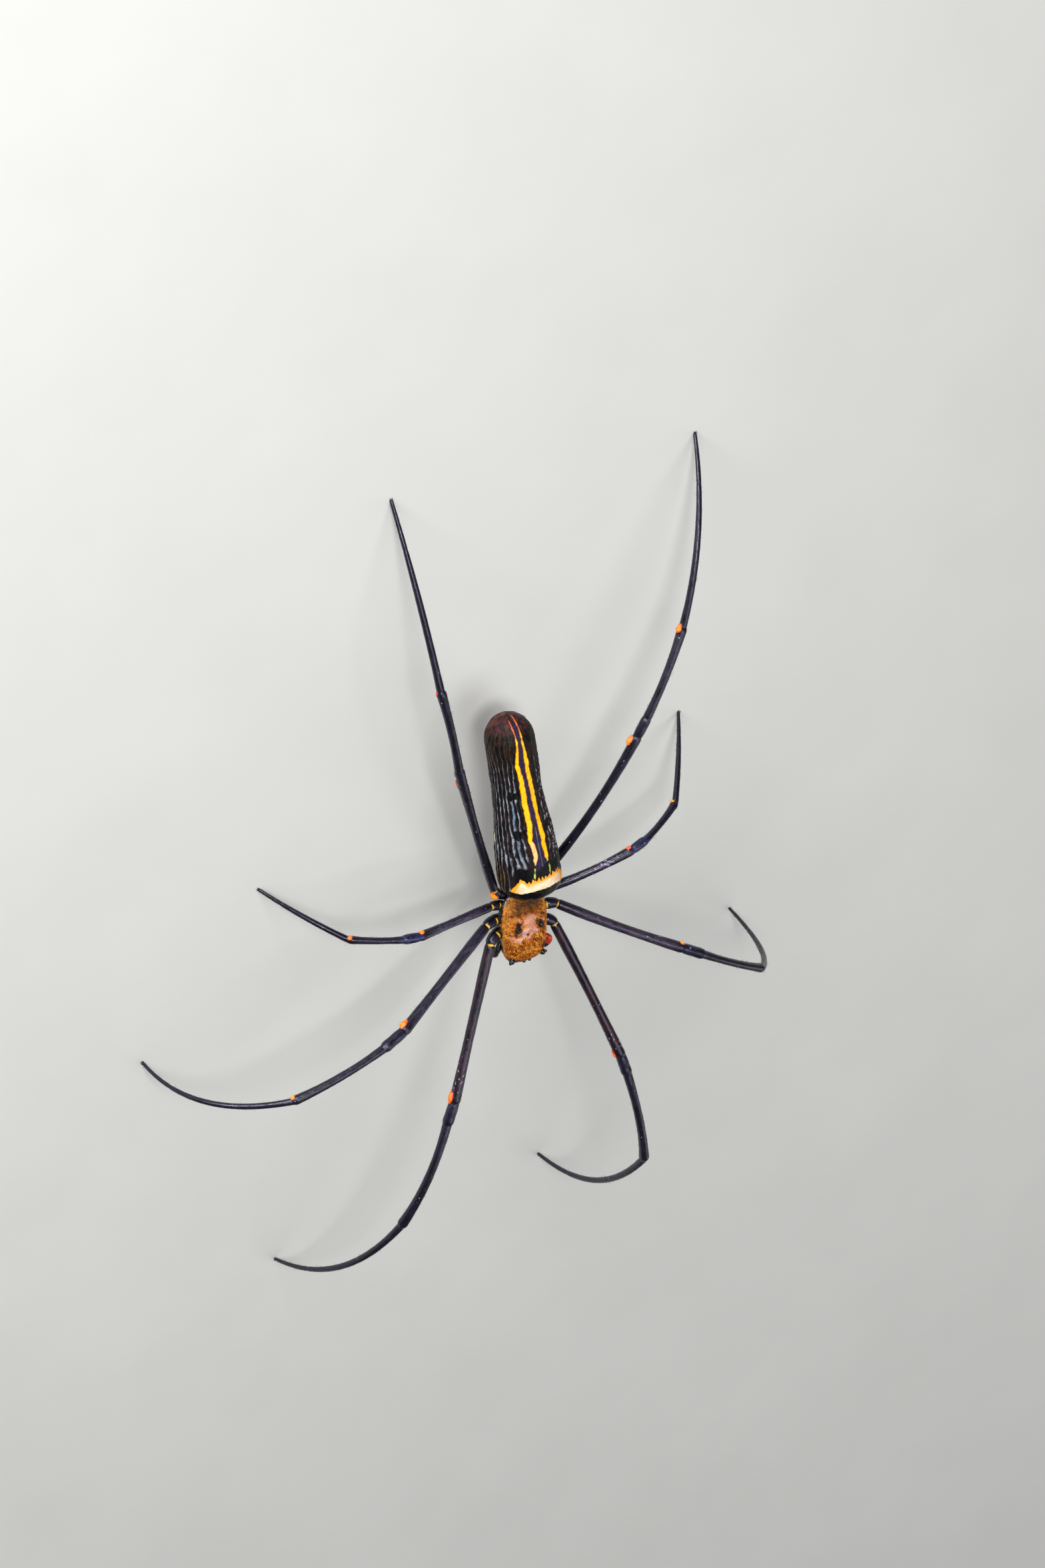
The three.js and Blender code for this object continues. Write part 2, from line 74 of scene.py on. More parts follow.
STRIPE_DASHES = (                 # along, aside, half length, half width
    (7.2, -1.4, 0.4, 0.13), (6.0, -1.6, 0.5, 0.15), (6.3, 1.35, 0.75, 0.17))
VIOLET_END = 33.0                 # where the violet between the stripes ends
BAND_TURNS = [-70, -60, -50, -43, -38, -32, -24, -6, 0, 24, 41, 55, 64]            # in degrees
BAND_FRONTS = [3.2, 3.0, 2.9, 2.95, 3.0, 3.1, 3.25, 3.25, 3.15, 3.05, 2.6, 2.25, 2.1]
BAND_REARS = [3.1, 4.1, 5.0, 5.75, 5.3, 4.8, 5.2, 5.2, 5.25, 5.25, 4.9, 3.8, 2.1]
BLOTCHES = (                      # along, around, half width around, half length
    (20.9, -0.63, 0.22, 0.75), (13.7, -0.6, 0.26, 0.85), (21.0, 0.6, 0.12, 0.7), (13.8, 0.58, 0.2, 0.9))
FLANK_SPOTS = ((17.0, 0.5), (11.6, 0.9))                                   # along, half length
FLANK_SPOT_TURN = 1.93            # radians round from the back line
FIRST_LINE = ((5, 20), (8, 22), (11, 28), (15, 33), (20, 33), (25, 31), (30, 30))  # along, degrees round
LINE_SPACINGS = ((5, 12.0), (11, 10.9), (25, 10.4), (30, 12.0))            # along, degrees apart
LINES_START = {"back": 7.2, "flank": 2.4}
LINES_FAINT = (23, 29)
LINES_END = (31.5, 33.3)
TAIL = (22, 30)
TIP = (29.5, 33.2)
FURROW = 8.2                      # the fold across the belly, behind the two lung covers
LUNG_COVERS = (5.8, 2.55, 1.5, 0.25)                                       # along, around, spread each way
DENTS = ((9.6, 0.44), (13.7, 0.5), (20.9, 0.52), (26.6, 0.45))             # along, around
FAR_OFF = 9.0                     # the distance given where no marking is near


def unit(vectors):
    vectors = np.asarray(vectors, float)
    return vectors / np.maximum(np.linalg.norm(vectors, axis=-1, keepdims=True), 1e-9)


abdomen_way = np.array([-math.sin(ABDOMEN["yaw"]) * math.cos(ABDOMEN["droop"]),
                        math.cos(ABDOMEN["yaw"]) * math.cos(ABDOMEN["droop"]),
                        -math.sin(ABDOMEN["droop"])])
abdomen_side = unit(np.cross(abdomen_way, UP))
abdomen_up = np.cross(abdomen_side, abdomen_way)


def step(values, low, high):
    """A soft step from 0 at low to 1 at high."""
    share = np.clip((np.asarray(values, float) - low) / (high - low), 0, 1)
    return share * share * (3 - 2 * share)


def abdomen_radius(along):
    share = along / ABDOMEN["length"]
    (a, shoulder), (b, waist), (c, club) = (ABDOMEN[k] for k in ("shoulder", "waist", "club"))
    radius = np.where(share < b, shoulder + (waist - shoulder) * step(share, a, b),
                      waist + (club - waist) * step(share, b, c))
    fullness = ABDOMEN["front_fullness"]
    front = np.clip(along / ABDOMEN["front_cap"], 0, 1)
    rear = np.clip((ABDOMEN["length"] - along) / ABDOMEN["rear_cap"], 0, 1)
    return radius * (1 - (1 - front) ** fullness) ** (1 / fullness) * np.sqrt(1 - (1 - rear) ** 2)


def on_abdomen(along, around, proud=0.0):
    """Points of the skin, around in radians from the back line towards the animal's left."""
    radius = abdomen_radius(along)
    high = np.where(np.cos(around) > 0, ABDOMEN["back_ratio"], ABDOMEN["belly_ratio"])
    flank = np.sin(around) * (radius + proud)
    rise = np.cos(around) * (radius * high + proud)
    return (ABDOMEN["front"] + along[..., None] * abdomen_way
            + flank[..., None] * abdomen_side + rise[..., None] * abdomen_up)


def table(rows, places):
    """Values between the given stations, one table row for each."""
    rows = np.asarray(rows, float)
    values = [np.interp(places, rows[:, 0], rows[:, k]) for k in range(1, rows.shape[1])]
    return values if len(values) > 1 else values[0]


def ripple(points, size, seed):
    """Soft unevenness between about -1 and 1, with swells of the given size."""
    draw = np.random.default_rng(seed)
    ways = unit(draw.normal(size=(9, 3))) * draw.uniform(0.6, 1.5, (9, 1))
    phases = draw.uniform(0, 2 * math.pi, 9)
    return np.sin(np.asarray(points) @ ways.T * (2 * math.pi / size) + phases).sum(-1) / 4


def abdomen_marks(along, around):
    """Distances in millimetres to the edges of the markings, negative inside, and soft masks."""
    radius = np.maximum(abdomen_radius(along), 0.5)
    aside, reach, degrees = around * radius, np.abs(around), np.degrees(around)
    stripe = blotch = spots = np.full(along.shape, FAR_OFF)
    waver = 0.02 * np.sin(along * 2.3 + 1.0) + 0.012 * np.sin(along * 5.1)
    middles = []
    for stations in STRIPES.values():
        middle, half = table(stations, along)
        middles.append(middle)
        edge = np.abs(aside - middle + waver) - half + 0.02 * np.sin(along * 3.7 + aside * 2)
        ends = np.maximum(stations[0][0] - along, along - stations[-1][0])
        stripe = np.minimum(stripe, np.maximum(edge, ends))
    for place, middle, half_length, half in STRIPE_DASHES:
        dash = np.hypot((aside - middle) / half, (along - place) / half_length)
        stripe = np.minimum(stripe, (dash - 1) * half)
    between = np.maximum(middles[0] - aside, aside - middles[1])
    between = np.maximum(between, along - VIOLET_END)
    band_front = np.interp(degrees, BAND_TURNS, BAND_FRONTS)
    band_rear = np.interp(degrees, BAND_TURNS, BAND_REARS)
    teeth = step(reach, 0.95, 0.7) * (0.55 * np.abs(np.sin(aside * 4.1 + 0.5 * np.sin(aside * 1.7))) ** 1.3
                                      + 0.14 * np.sin(aside * 11.3) - 0.3)
    band = np.maximum(band_front - along, along - band_rear - teeth)
    band = np.maximum(band, (np.abs(degrees + 3) - 67) * radius * 0.017)
    band_flank = step(np.abs(degrees + 6), 40, 56) * (along > band_front)
    for place, turn, span, half_length in BLOTCHES:
        square = np.maximum(np.abs(along - place) - half_length, (np.abs(around - turn) - span) * radius)
        blotch = np.minimum(blotch, square + 0.15 * np.sin(aside * 4.5))
    behind_band = np.maximum(along - 7.3 - 0.5 * np.sin(aside * 1.3), (reach - 0.95) * radius)
    blotch = np.minimum(blotch, np.maximum(behind_band, band_front - along))
    line_end = np.maximum(0, 1 - np.abs(blotch) / 1.1) * (reach > 0.3)
    blotch = np.minimum(blotch, np.maximum(along - band_front, (reach - 1.5) * radius))
    spacing = table(LINE_SPACINGS, along)
    line = ((np.degrees(reach) - table(FIRST_LINE, along)) / spacing + 0.5
            + 0.07 * np.sin(along * 1.35 + 4 * around) + 0.05 * np.sin(along * 3.1 + 9 * around)
            + 0.07 * ripple(np.stack([along, 6 * around, 0 * along], -1), 3.0, 8))
    broad_line = (1 - step(np.abs(line - 1.5), 0.25, 0.5)) * step(along, 7, 12) * (1 - step(along, 20, 23))
    start = LINES_START["back"] + (LINES_START["flank"] - LINES_START["back"]) * step(reach, 0.9, 1.25)
    strength = (step(reach, 0.38, 0.5) * (1 - step(reach, 1.9, 2.4)) * step(along, start, start + 0.9)
                * (1 - step(along, *LINES_END)) * (1 - 0.55 * step(along, *LINES_FAINT)))
    for place, half_length in FLANK_SPOTS:
        spot = np.hypot((along - place) / half_length, (reach - FLANK_SPOT_TURN) / 0.05)
        spots = np.minimum(spots, (spot - 1) * 0.2)
    return {
        "stripe": stripe,
        "between": between,
        "band": band,
        "band_rear": step(along - band_rear, -0.95, -0.25) + band_flank,
        "blotch": blotch,
        "line": line,
        "line_strength": strength,
        "line_end": line_end,
        "broad_line": broad_line,
        "centre_line": np.maximum(np.abs(aside - 0.04) - 0.06, np.maximum(6.6 - along, along - 14.6)),
        "tail": step(along, *TAIL),
        "tip": step(along, *TIP),
        "pale_stripe": step(-aside, 0.1, 0.3) * (1 - step(along, 11.9, 12.3)),
        "stripe_front": 1 - step(along, 7.6, 9.0),
        "cap": step(band_front - along, -0.1, 0.3),
        "front_blobs": step(along, 6.6, 7.8) * (1 - step(along, 11.4, 12.4)),
        "speckled": step(around, 0.35, 0.6) * (1 - step(along, 24, 28)),
        "belly": step(reach + 0.09 * ripple(np.stack([along, 3 * around, 0 * along], -1), 3.5, 9), 1.65, 2.5),
        "front_flank": (1 - step(along, 5.0, 9.5)) * step(reach, 1.1, 1.35),
        "flank_spots": spots,
    }


def crowded(count):
    """Shares of a length that lie closer together towards both of its ends."""
    return 0.5 - 0.5 * np.cos(np.pi * (np.arange(count) + 0.25) / (count - 0.5))


abdomen_along, abdomen_around = np.meshgrid(
    crowded(ABDOMEN_RINGS) * ABDOMEN["length"],
    np.linspace(-np.pi, np.pi, ABDOMEN_SIDES, endpoint=False), indexing="ij")
abdomen_reach = np.abs(abdomen_around)
abdomen_masks = abdomen_marks(abdomen_along, abdomen_around)
abdomen_bare = on_abdomen(abdomen_along, abdomen_around)


def hump(place, turn, long, wide):
    """A soft swelling on each side of the back line, with its spread along and around."""
    return np.exp(-((abdomen_along - place) / long) ** 2 - ((abdomen_reach - turn) / wide) ** 2)


ridges = np.cos(2 * np.pi * (abdomen_masks["line"] - 0.5)) * abdomen_masks["line_strength"]
furrow = np.exp(-((abdomen_along - FURROW) / 0.35) ** 2) * step(abdomen_reach, 2.2, 2.5)
dents = sum(hump(place, turn, 0.4, 0.1) for place, turn in DENTS)
folds = ripple(abdomen_bare * [1.0, 0.28, 1.0], 1.6, 5) * step(abdomen_along, 3.5, 7)
swell = (0.09 * ridges + 0.06 * folds + 0.05 * ripple(abdomen_bare, 5.0, 3)
         + 0.03 * ripple(abdomen_bare, 1.3, 4) + 0.05 * (abdomen_masks["stripe"] < 0)
         - 0.3 * furrow + 0.16 * hump(*LUNG_COVERS) - 0.14 * dents - 0.1)
swell *= np.clip(abdomen_radius(abdomen_along) / 3, 0, 1)


class Shade:
    """A value, colour or direction that changes over a surface: one output of a finish's nodes."""

    def __init__(self, finish, socket):
        self.finish, self.socket = finish, socket

    def __add__(self, other):
        return self.finish.math("ADD", self, other)

    def __sub__(self, other):
        return self.finish.math("SUBTRACT", self, other)

    def __rsub__(self, other):
        return self.finish.math("SUBTRACT", other, self)

    def __mul__(self, other):
        return self.finish.math("MULTIPLY", self, other)

    def __truediv__(self, other):
        return self.finish.math("DIVIDE", self, other)


class Finish:
    """One material or node group while it is put together. A mask may be given by its name."""

    def __init__(self, name, group=False):
        if group:
            self.tree = bpy.data.node_groups.new(name, "ShaderNodeTree")
        else:
            self.material = bpy.data.materials.new(name)
            self.material.use_nodes = True
            self.tree = self.material.node_tree
            self.tree.nodes.clear()

    def put(self, kind, inputs, output=0, **settings):
        """A new node with its inputs set or linked, for one of its outputs."""
        node = self.tree.nodes.new("ShaderNode" + kind)
        for key, value in settings.items():
            setattr(node, key, value)
        for key, value in inputs.items():
            value = self.mask(value) if isinstance(value, str) else value
            if isinstance(value, Shade):
                self.tree.links.new(value.socket, node.inputs[key])
            else:
                node.inputs[key].default_value = value
        return Shade(self, node.outputs[output]) if node.outputs else None

    def mask(self, name, output="Fac"):
        return self.put("Attribute", {}, output, attribute_name=name)

    def here(self):
        return self.put("TexCoord", {}, "Object")

    def math(self, how, *values, clamp=False):
        return self.put("Math", dict(enumerate(values)), operation=how, use_clamp=clamp)

    def stretched(self, vector, scale):
        return self.put("VectorMath", {0: vector, 1: scale}, operation="MULTIPLY")

    def noise(self, vector, scale, detail=3.0, roughness=0.55):
        return self.put("TexNoise", {"Vector": vector, "Scale": scale, "Detail": detail,
                                     "Roughness": roughness}, "Fac")

    def cells(self, vector, scale):
        return self.put("TexVoronoi", {"Vector": vector, "Scale": scale}, "Distance")

    def spread(self, value, low, high, to_low=0.0, to_high=1.0):
        """A value between two limits, softly spread over two others."""
        return self.put("MapRange", {"Value": value, "From Min": low, "From Max": high,
                                     "To Min": to_low, "To Max": to_high},
                        interpolation_type="SMOOTHSTEP")

    def inside(self, name, soft, wobbly):
        """1 inside a marking and 0 outside it, with an uneven edge."""
        return self.spread(self.mask(name) + wobbly, -soft, soft, 1.0, 0.0)

    def mix(self, share, first, second):
        """A colour between two others, each a shade or screen values of 0 to 255."""
        first, second = (colour(*tone) if isinstance(tone, tuple) else tone for tone in (first, second))
        return self.put("Mix", {0: share, 6: first, 7: second}, 2, data_type="RGBA")

    def bump(self, height, strength, distance, normal=None):
        under = {} if normal is None else {"Normal": normal}
        return self.put("Bump", {"Height": height, "Strength": strength, "Distance": distance, **under})

    def use(self, group, inputs):
        """The outputs of a shared effect by their names."""
        node = self.put("Group", inputs, node_tree=group.tree).socket.node
        return {output.name: Shade(self, output) for output in node.outputs}

    def surface(self, inputs):
        self.put("OutputMaterial", {"Surface": self.put("BsdfPrincipled", inputs)})
        return self.material


def colour(red, green, blue):
    """A colour from screen values of 0 to 255."""
    return tuple(((c / 255 + 0.055) / 1.055) ** 2.4 if c > 10 else c / 255 / 12.92
                 for c in (red, green, blue)) + (1.0,)


# Fine pits and creases of skin and shell, which most finishes of the animal use at their own scale.
grain = Finish("skin grain", group=True)
for socket_name, socket_kind in (("Vector", "NodeSocketVector"), ("Scale", "NodeSocketFloat")):
    grain.tree.interface.new_socket(socket_name, in_out="INPUT", socket_type=socket_kind)
for socket_name in ("Height", "Unevenness"):
    grain.tree.interface.new_socket(socket_name, in_out="OUTPUT", socket_type="NodeSocketFloat")
grain_in = grain.tree.nodes.new("NodeGroupInput")
grain_out = grain.tree.nodes.new("NodeGroupOutput")
grain_place, grain_scale = (Shade(grain, grain_in.outputs[name]) for name in ("Vector", "Scale"))
grain_height = grain.cells(grain_place, grain_scale) * 0.5 + grain.noise(grain_place, grain_scale, 4.0, 0.6)
grain_coarse = grain.noise(grain_place, grain_scale * 0.2, 2.0)
grain.tree.links.new(grain_height.socket, grain_out.inputs["Height"])
grain.tree.links.new(grain_coarse.socket, grain_out.inputs["Unevenness"])

skin = Finish("abdomen skin")
skin_place = skin.here()
skin_lengthwise = skin.stretched(skin_place, (1.0, 0.4, 1.0))
skin_grain = skin.use(grain, {"Vector": skin_place, "Scale": 5200.0})
blur_wide = skin.noise(skin_place, 900.0)
blur_fine = skin.noise(skin_place, 3800.0)
wobble = (blur_wide - 0.5) * 0.34 + (blur_fine - 0.5) * 0.3

line_off = skin.math("ABSOLUTE", skin.math("FRACT", skin.mask("line") + wobble * 0.5) - 0.5)
blobs = skin.spread(skin.noise(skin_place, 620.0), 0.42, 0.6) * "front_blobs"
line_width = (skin.spread(blur_wide, 0.35, 0.75, 0.07, 0.15) + skin.mask("broad_line") * 0.1
              + blobs * 0.13 + skin.mask("line_end") * 0.12)
line_specks = skin.spread(skin.noise(skin_place, 1900.0, 2.0), 0.46, 0.58, 0.05, 1.2)
speckled = skin.mask("speckled")
line_breaks = (skin.spread(skin.noise(skin_place, 700.0, 4.0), 0.36, 0.56, 0.45, 1.0)
               * (speckled * line_specks - speckled + 1.0)
               * skin.spread(skin.noise(skin_place, 7000.0, 2.0), 0.36, 0.6, 0.4, 1.0))
line_here = skin.spread(line_off / line_width, 0.35, 1.5, 1.0, 0.0)
line_share = skin.math("MULTIPLY", line_here * line_breaks, "line_strength", clamp=True)

tail_streaks = skin.noise(skin_lengthwise, 1100.0, 4.0)
tail_brown = skin.mix(skin.spread(tail_streaks, 0.45, 0.66), (7, 4, 3), (44, 23, 10))
tip_mauve = skin.mix(skin.spread(blur_wide, 0.4, 0.6), (26, 12, 13), (76, 35, 40))
belly_brown = skin.mix(skin.spread(blur_wide, 0.4, 0.62), (44, 24, 16), (96, 54, 24))
ground = skin.mix(skin.spread(skin_grain["Unevenness"], 0.4, 0.62), (10, 7, 10), (29, 17, 22))
ground = skin.mix("tail", ground, tail_brown)
ground = skin.mix(skin.spread("tip", 0.55, 0.95), ground, tip_mauve)
ground = skin.mix("belly", ground, belly_brown)
silver = skin.mix(skin.spread(skin.noise(skin_place, 450.0, 2.0), 0.4, 0.6), (96, 100, 106), (164, 172, 176))
silver = skin.mix("broad_line", silver, (120, 146, 172))
silver = skin.mix(skin.math("MAXIMUM", blobs, "line_end") * 0.6, silver, (176, 190, 204))
silver = skin.mix(speckled * 0.5, silver, (206, 176, 176))
silver = skin.mix("tail", silver, (98, 78, 56))
silver = skin.mix("front_flank", silver, (150, 122, 54))
violet = skin.mix(skin.spread(blur_fine, 0.35, 0.65), (20, 12, 34), (48, 34, 72))
yellow = skin.mix(skin.spread(blur_fine, 0.35, 0.7), (246, 178, 0), (255, 214, 26))
yellow = skin.mix("pale_stripe", yellow, (252, 200, 130))
yellow = skin.mix(skin.spread("tip", 0.3, 0.9), yellow, (196, 98, 66))
yellow = skin.mix("stripe_front", yellow, (188, 200, 90))
amber_edge = skin.spread(skin.mask("stripe") + wobble * 0.9, -0.16, 0.0, 0.0, 0.85)
yellow = skin.mix(amber_edge * (1.0 - skin.mask("stripe_front")), yellow, (206, 104, 8))
cream = skin.mix(skin.spread(blur_wide, 0.4, 0.62), (250, 204, 160), (246, 224, 192))
cream = skin.mix(skin.math("ADD", "band_rear", wobble, clamp=True), cream, (252, 164, 22))
skin_colour = skin.mix(line_share, ground, silver)
for marking, softness, raggedness, tone in (
        ("flank_spots", 0.05, 0.8, (226, 216, 190)),
        ("between", 0.3, 1.0, violet),
        ("centre_line", 0.06, 0.4, (120, 128, 118)),
        ("blotch", 0.15, 1.4, (6, 4, 6)),
        ("stripe", 0.07, 0.9, yellow),
        ("band", 0.09, 1.3, cream)):
    skin_colour = skin.mix(skin.inside(marking, softness, wobble * raggedness), skin_colour, tone)
skin_creases = skin.noise(skin_lengthwise, 2400.0, 5.0) * (1.0 - skin.mask("cap") * 0.8)
skin_dullness = skin.spread(skin_grain["Unevenness"], 0.35, 0.65, 0.42, 0.58)
abdomen_finish = skin.surface({
    "Base Color": skin_colour,
    "Roughness": skin_dullness - skin.mask("cap") * 0.24 - line_share * 0.14,
    "Specular IOR Level": 0.2,
    "Normal": skin.bump(skin_grain["Height"], 0.3, 0.00009, skin.bump(skin_creases, 0.5, 0.0003)),
})


def with_ends(rings):
    """Ring values as one list, with the mean of the first and of the last ring at its end."""
    rings = np.asarray(rings, float)
    flat = rings.reshape(rings.shape[0] * rings.shape[1], *rings.shape[2:])
    return np.concatenate([flat, rings[:1].mean(1), rings[-1:].mean(1)])


def ring_faces(count, sides):
    """Triangles of a closed body of rings, with a middle point added at each end."""
    ring, side = np.meshgrid(np.arange(count - 1), np.arange(sides), indexing="ij")
    after = (side + 1) % sides
    a, b = ring * sides + side, ring * sides + after
    c, d = a + sides, b + sides
    walls = np.concatenate([np.stack([a, b, d], -1).reshape(-1, 3),
                            np.stack([a, d, c], -1).reshape(-1, 3)])
    edge = np.arange(sides)
    start, last = count * sides, (count - 1) * sides
    first_cap = np.stack([np.full(sides, start), (edge + 1) % sides, edge], -1)
    last_cap = np.stack([np.full(sides, start + 1), last + edge, last + (edge + 1) % sides], -1)
    return np.concatenate([walls, first_cap, last_cap])


def dot(a, b):
    return (np.asarray(a) * np.asarray(b)).sum(-1)


def outward(points, faces):
    """The same triangles, turned so that the closed body faces outwards."""
    a, b, c = (points[faces[:, k]] for k in range(3))
    return faces if dot(a, np.cross(b, c)).sum() > 0 else faces[:, ::-1]


def joined(bodies):
    """The points and triangles of several closed bodies of rings."""
    points, faces, count = [], [], 0
    for rings in bodies:
        body = with_ends(rings)
        points.append(body)
        faces.append(outward(body, ring_faces(*rings.shape[:2])) + count)
        count += len(body)
    return np.concatenate(points), np.concatenate(faces)


def make_piece(name, points, faces, material, slot, stands_for=(), masks=None):
    """A mesh piece from points in millimetres, with a named value at each point per mask."""
    mesh = bpy.data.meshes.new(name)
    mesh.vertices.add(len(points))
    mesh.vertices.foreach_set("co", (np.asarray(points) * MM).astype(np.float32).ravel())
    mesh.loops.add(len(faces) * 3)
    mesh.loops.foreach_set("vertex_index", np.asarray(faces, np.int32).ravel())
    mesh.polygons.add(len(faces))
    mesh.polygons.foreach_set("loop_start", np.arange(0, 3 * len(faces), 3, dtype=np.int32))
    mesh.polygons.foreach_set("use_smooth", np.full(len(faces), True))
    for mask, values in (masks or {}).items():
        kind = "FLOAT_VECTOR" if np.ndim(values) == 2 else "FLOAT"
        place = mesh.attributes.new(mask, kind, "POINT")
        place.data.foreach_set("vector" if kind == "FLOAT_VECTOR" else "value",
                               np.asarray(values, np.float32).ravel())
    mesh.update(calc_edges=True)
    mesh.validate()
    mesh.materials.append(material)
    piece = bpy.data.objects.new(name, mesh)
    bpy.context.scene.collection.objects.link(piece)
    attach(piece, "root")
    if stands_for:
        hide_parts(*stands_for)
    return piece


def ring_piece(name, rings, material, slot, stands_for=(), masks=None):
    """A closed mesh piece from rings of points, with a value on each ring point per mask."""
    masks = {mask: with_ends(values) for mask, values in (masks or {}).items()}
    make_piece(name, *joined([rings]), material, slot, stands_for, masks)


ring_piece("abdomen_skin", on_abdomen(abdomen_along, abdomen_around, swell), abdomen_finish, "abdomen",
           ["abdomen"], abdomen_masks)


# Carapace. The hard shield over the front body: a broad low rear part with a dip in its middle,
# a raised boxy head part, a pair of short horns where the two meet, and a knob for the side
# eyes at each front corner. One shell, fused from its forms, with a bare black rim.
BODY_PITCH = math.radians(8)
BOTH_SIDES = {"R": -1, "L": 1}
CARAPACE_FLOOR = -0.35
CARAPACE_STATIONS = [(5.3, 1.1, 0.3), (4.5, 2.7, 0.85), (2.7, 4.1, 1.5), (0.6, 4.65, 1.95),
                     (-1.4, 4.45, 2.5), (-3.6, 4.0, 2.85), (-5.6, 3.65, 2.75), (-7.0, 3.2, 2.2),
                     (-7.9, 2.4, 1.1)]
CARAPACE_ARCH = {"thorax": 2.4, "head": 3.4, "from": 0.5, "to": -4.5}
HORN = {"x": 2.02, "y": -0.98, "base": 1.9, "top": 3.12, "radius": 0.6, "tip": 0.14, "lean": 0.22}
EYE_TUBERCLE = {"place": (2.95, -6.85, 1.75), "radius": 0.54}
PALE_HAIR_AND_HIGHLIGHT = (                     # x, y and spread each way; two lumps of the shell come first; the long patch at x -2.1 is a painted highlight along the groove
    (-0.92, -1.37, 0.66, 0.42), (1.35, -1.5, 0.42, 0.42), (0.45, 0.5, 1.25, 0.8),
    (0.3, -0.4, 1.1, 0.75), (0.25, -1.3, 0.66, 0.7), (-1.55, 0.55, 0.42, 0.3),
    # the first patch on this line is a painted highlight along the groove on the right side
    (-2.1, -2.25, 1.5, 0.42), (-0.3, -2.2, 0.7, 0.34), (3.0, -0.4, 0.5, 0.3))
BLACK_HAIR = (
    (-1.82, -0.1, 0.3, 0.62), (-2.2, -1.1, 0.36, 0.78), (2.15, -0.85, 0.44, 0.8), (-0.46, -1.85, 0.2, 0.17))
# Brown hair patches; the first three, a broad brown field at the rear, are painted shadow of the abdomen.
BROWN_HAIR_AND_SHADOW = (
    (-0.2, 3.2, 2.5, 0.95), (1.6, 2.4, 1.2, 0.9), (-1.6, 2.0, 1.1, 0.6), (1.88, -3.2, 0.5, 0.45),
    (-1.9, -3.5, 0.3, 0.3), (2.7, 0.8, 0.45, 0.4), (0.0, -7.9, 2.5, 0.5))
SHELL_VOXEL = 0.09
SHELL_FAIRING = 4                 # rounds of smoothing after the forms are fused
COAT_DEPTH = 0.07                 # the room that is left for the hair
ACROSS = np.array([1.0, 0.0, 0.0])


def in_body(points):
    """Points of the front body's own frame as they stand over the ground."""
    x, y, z = np.moveaxis(np.asarray(points, float), -1, 0)
    level = y * math.cos(BODY_PITCH) + z * math.sin(BODY_PITCH)
    rise = z * math.cos(BODY_PITCH) - y * math.sin(BODY_PITCH)
    return np.stack([x, level, rise + BODY_HEIGHT], -1) + MIDDLE


def from_body(points):
    """The way back: standing points in the front body's own frame."""
    x, y, z = np.moveaxis(np.asarray(points, float) - MIDDLE, -1, 0)
    z = z - BODY_HEIGHT
    return np.stack([x, y * math.cos(BODY_PITCH) - z * math.sin(BODY_PITCH),
                     y * math.sin(BODY_PITCH) + z * math.cos(BODY_PITCH)], -1)


def patches(places, x, y):
    """Soft-edged patches, each with its middle and its spread each way."""
    total = 0.0
    for middle_x, middle_y, wide, long in places:
        total = total + np.exp(-(((x - middle_x) / wide) ** 2 + ((y - middle_y) / long) ** 2) ** 1.5)
    return np.clip(total, 0, 1)


def crease(x, y, width):
    """1 in the crease between thorax and head, which bends forwards on both sides."""
    middle = 0.75 - 0.85 * np.abs(x) ** 1.05
    return np.exp(-((y - middle) / width) ** 2) * (1 - step(np.abs(x), 3.2, 4.0))


def carapace_height(x, y):
    """Creases, hollows and lumps of the back, in millimetres of rise."""
    dip = np.exp(-((y - 2.75) / 0.6) ** 2 - x ** 2)
    spokes = np.abs(np.sin(2.6 * np.arctan2(np.abs(x), y - 2.6 + 1e-6)))
    spokes = (1 - spokes) ** 3 * step(np.hypot(x, y - 2.6), 0.8, 1.6) * step(y, -0.2, 0.8)
    cheek = np.exp(-((np.abs(x) - 2.2) / 0.9) ** 2 - ((y + 4.2) / 1.6) ** 2)
    lumps = patches(PALE_HAIR_AND_HIGHLIGHT[:2], x, y)
    return -0.26 * crease(x, y, 0.32) - 0.3 * dip - 0.2 * spokes + 0.09 * cheek + 0.12 * lumps


def through(stations, count):
    """A smooth run of the given count of values through evenly spaced stations."""
    rows = np.asarray(stations, float)
    flat = rows.ndim == 1
    rows = rows.reshape(len(rows), -1)
    places = np.linspace(0, len(rows) - 1, count)
    first = np.clip(places.astype(int), 0, len(rows) - 2)
    t = (places - first)[:, None]
    rows = np.vstack([2 * rows[0] - rows[1], rows, 2 * rows[-1] - rows[-2]])
    a, b, c, d = (rows[first + k] for k in range(4))
    run = b + 0.5 * t * (c - a + t * (2 * a - 5 * b + 4 * c - d + t * (3 * (b - c) + d - a)))
    return run[:, 0] if flat else run


def carapace_rings(count=90, sides=96):
    stations = through(CARAPACE_STATIONS, 400)
    run = np.concatenate([[0], np.cumsum(np.linalg.norm(np.diff(stations, axis=0), axis=1))])
    even = np.linspace(0, run[-1], count)
    y, half, back = (np.interp(even, run, stations[:, k])[:, None] for k in range(3))
    boxy = CARAPACE_ARCH["thorax"] + (CARAPACE_ARCH["head"] - CARAPACE_ARCH["thorax"]) * step(
        -y, -CARAPACE_ARCH["from"], -CARAPACE_ARCH["to"])
    angle = 2 * np.pi * np.arange(sides)[None] / sides
    above = np.maximum(0, np.sin(angle))
    arch = np.where(above > 0, (1 - np.abs(np.cos(angle)) ** boxy) ** (1 / boxy), 0)
    x = (half - COAT_DEPTH) * np.cos(angle)
    z = CARAPACE_FLOOR + (back - COAT_DEPTH - CARAPACE_FLOOR) * arch
    y = y + 0 * angle
    return np.stack([x, y, z + carapace_height(x, y) * arch], -1)


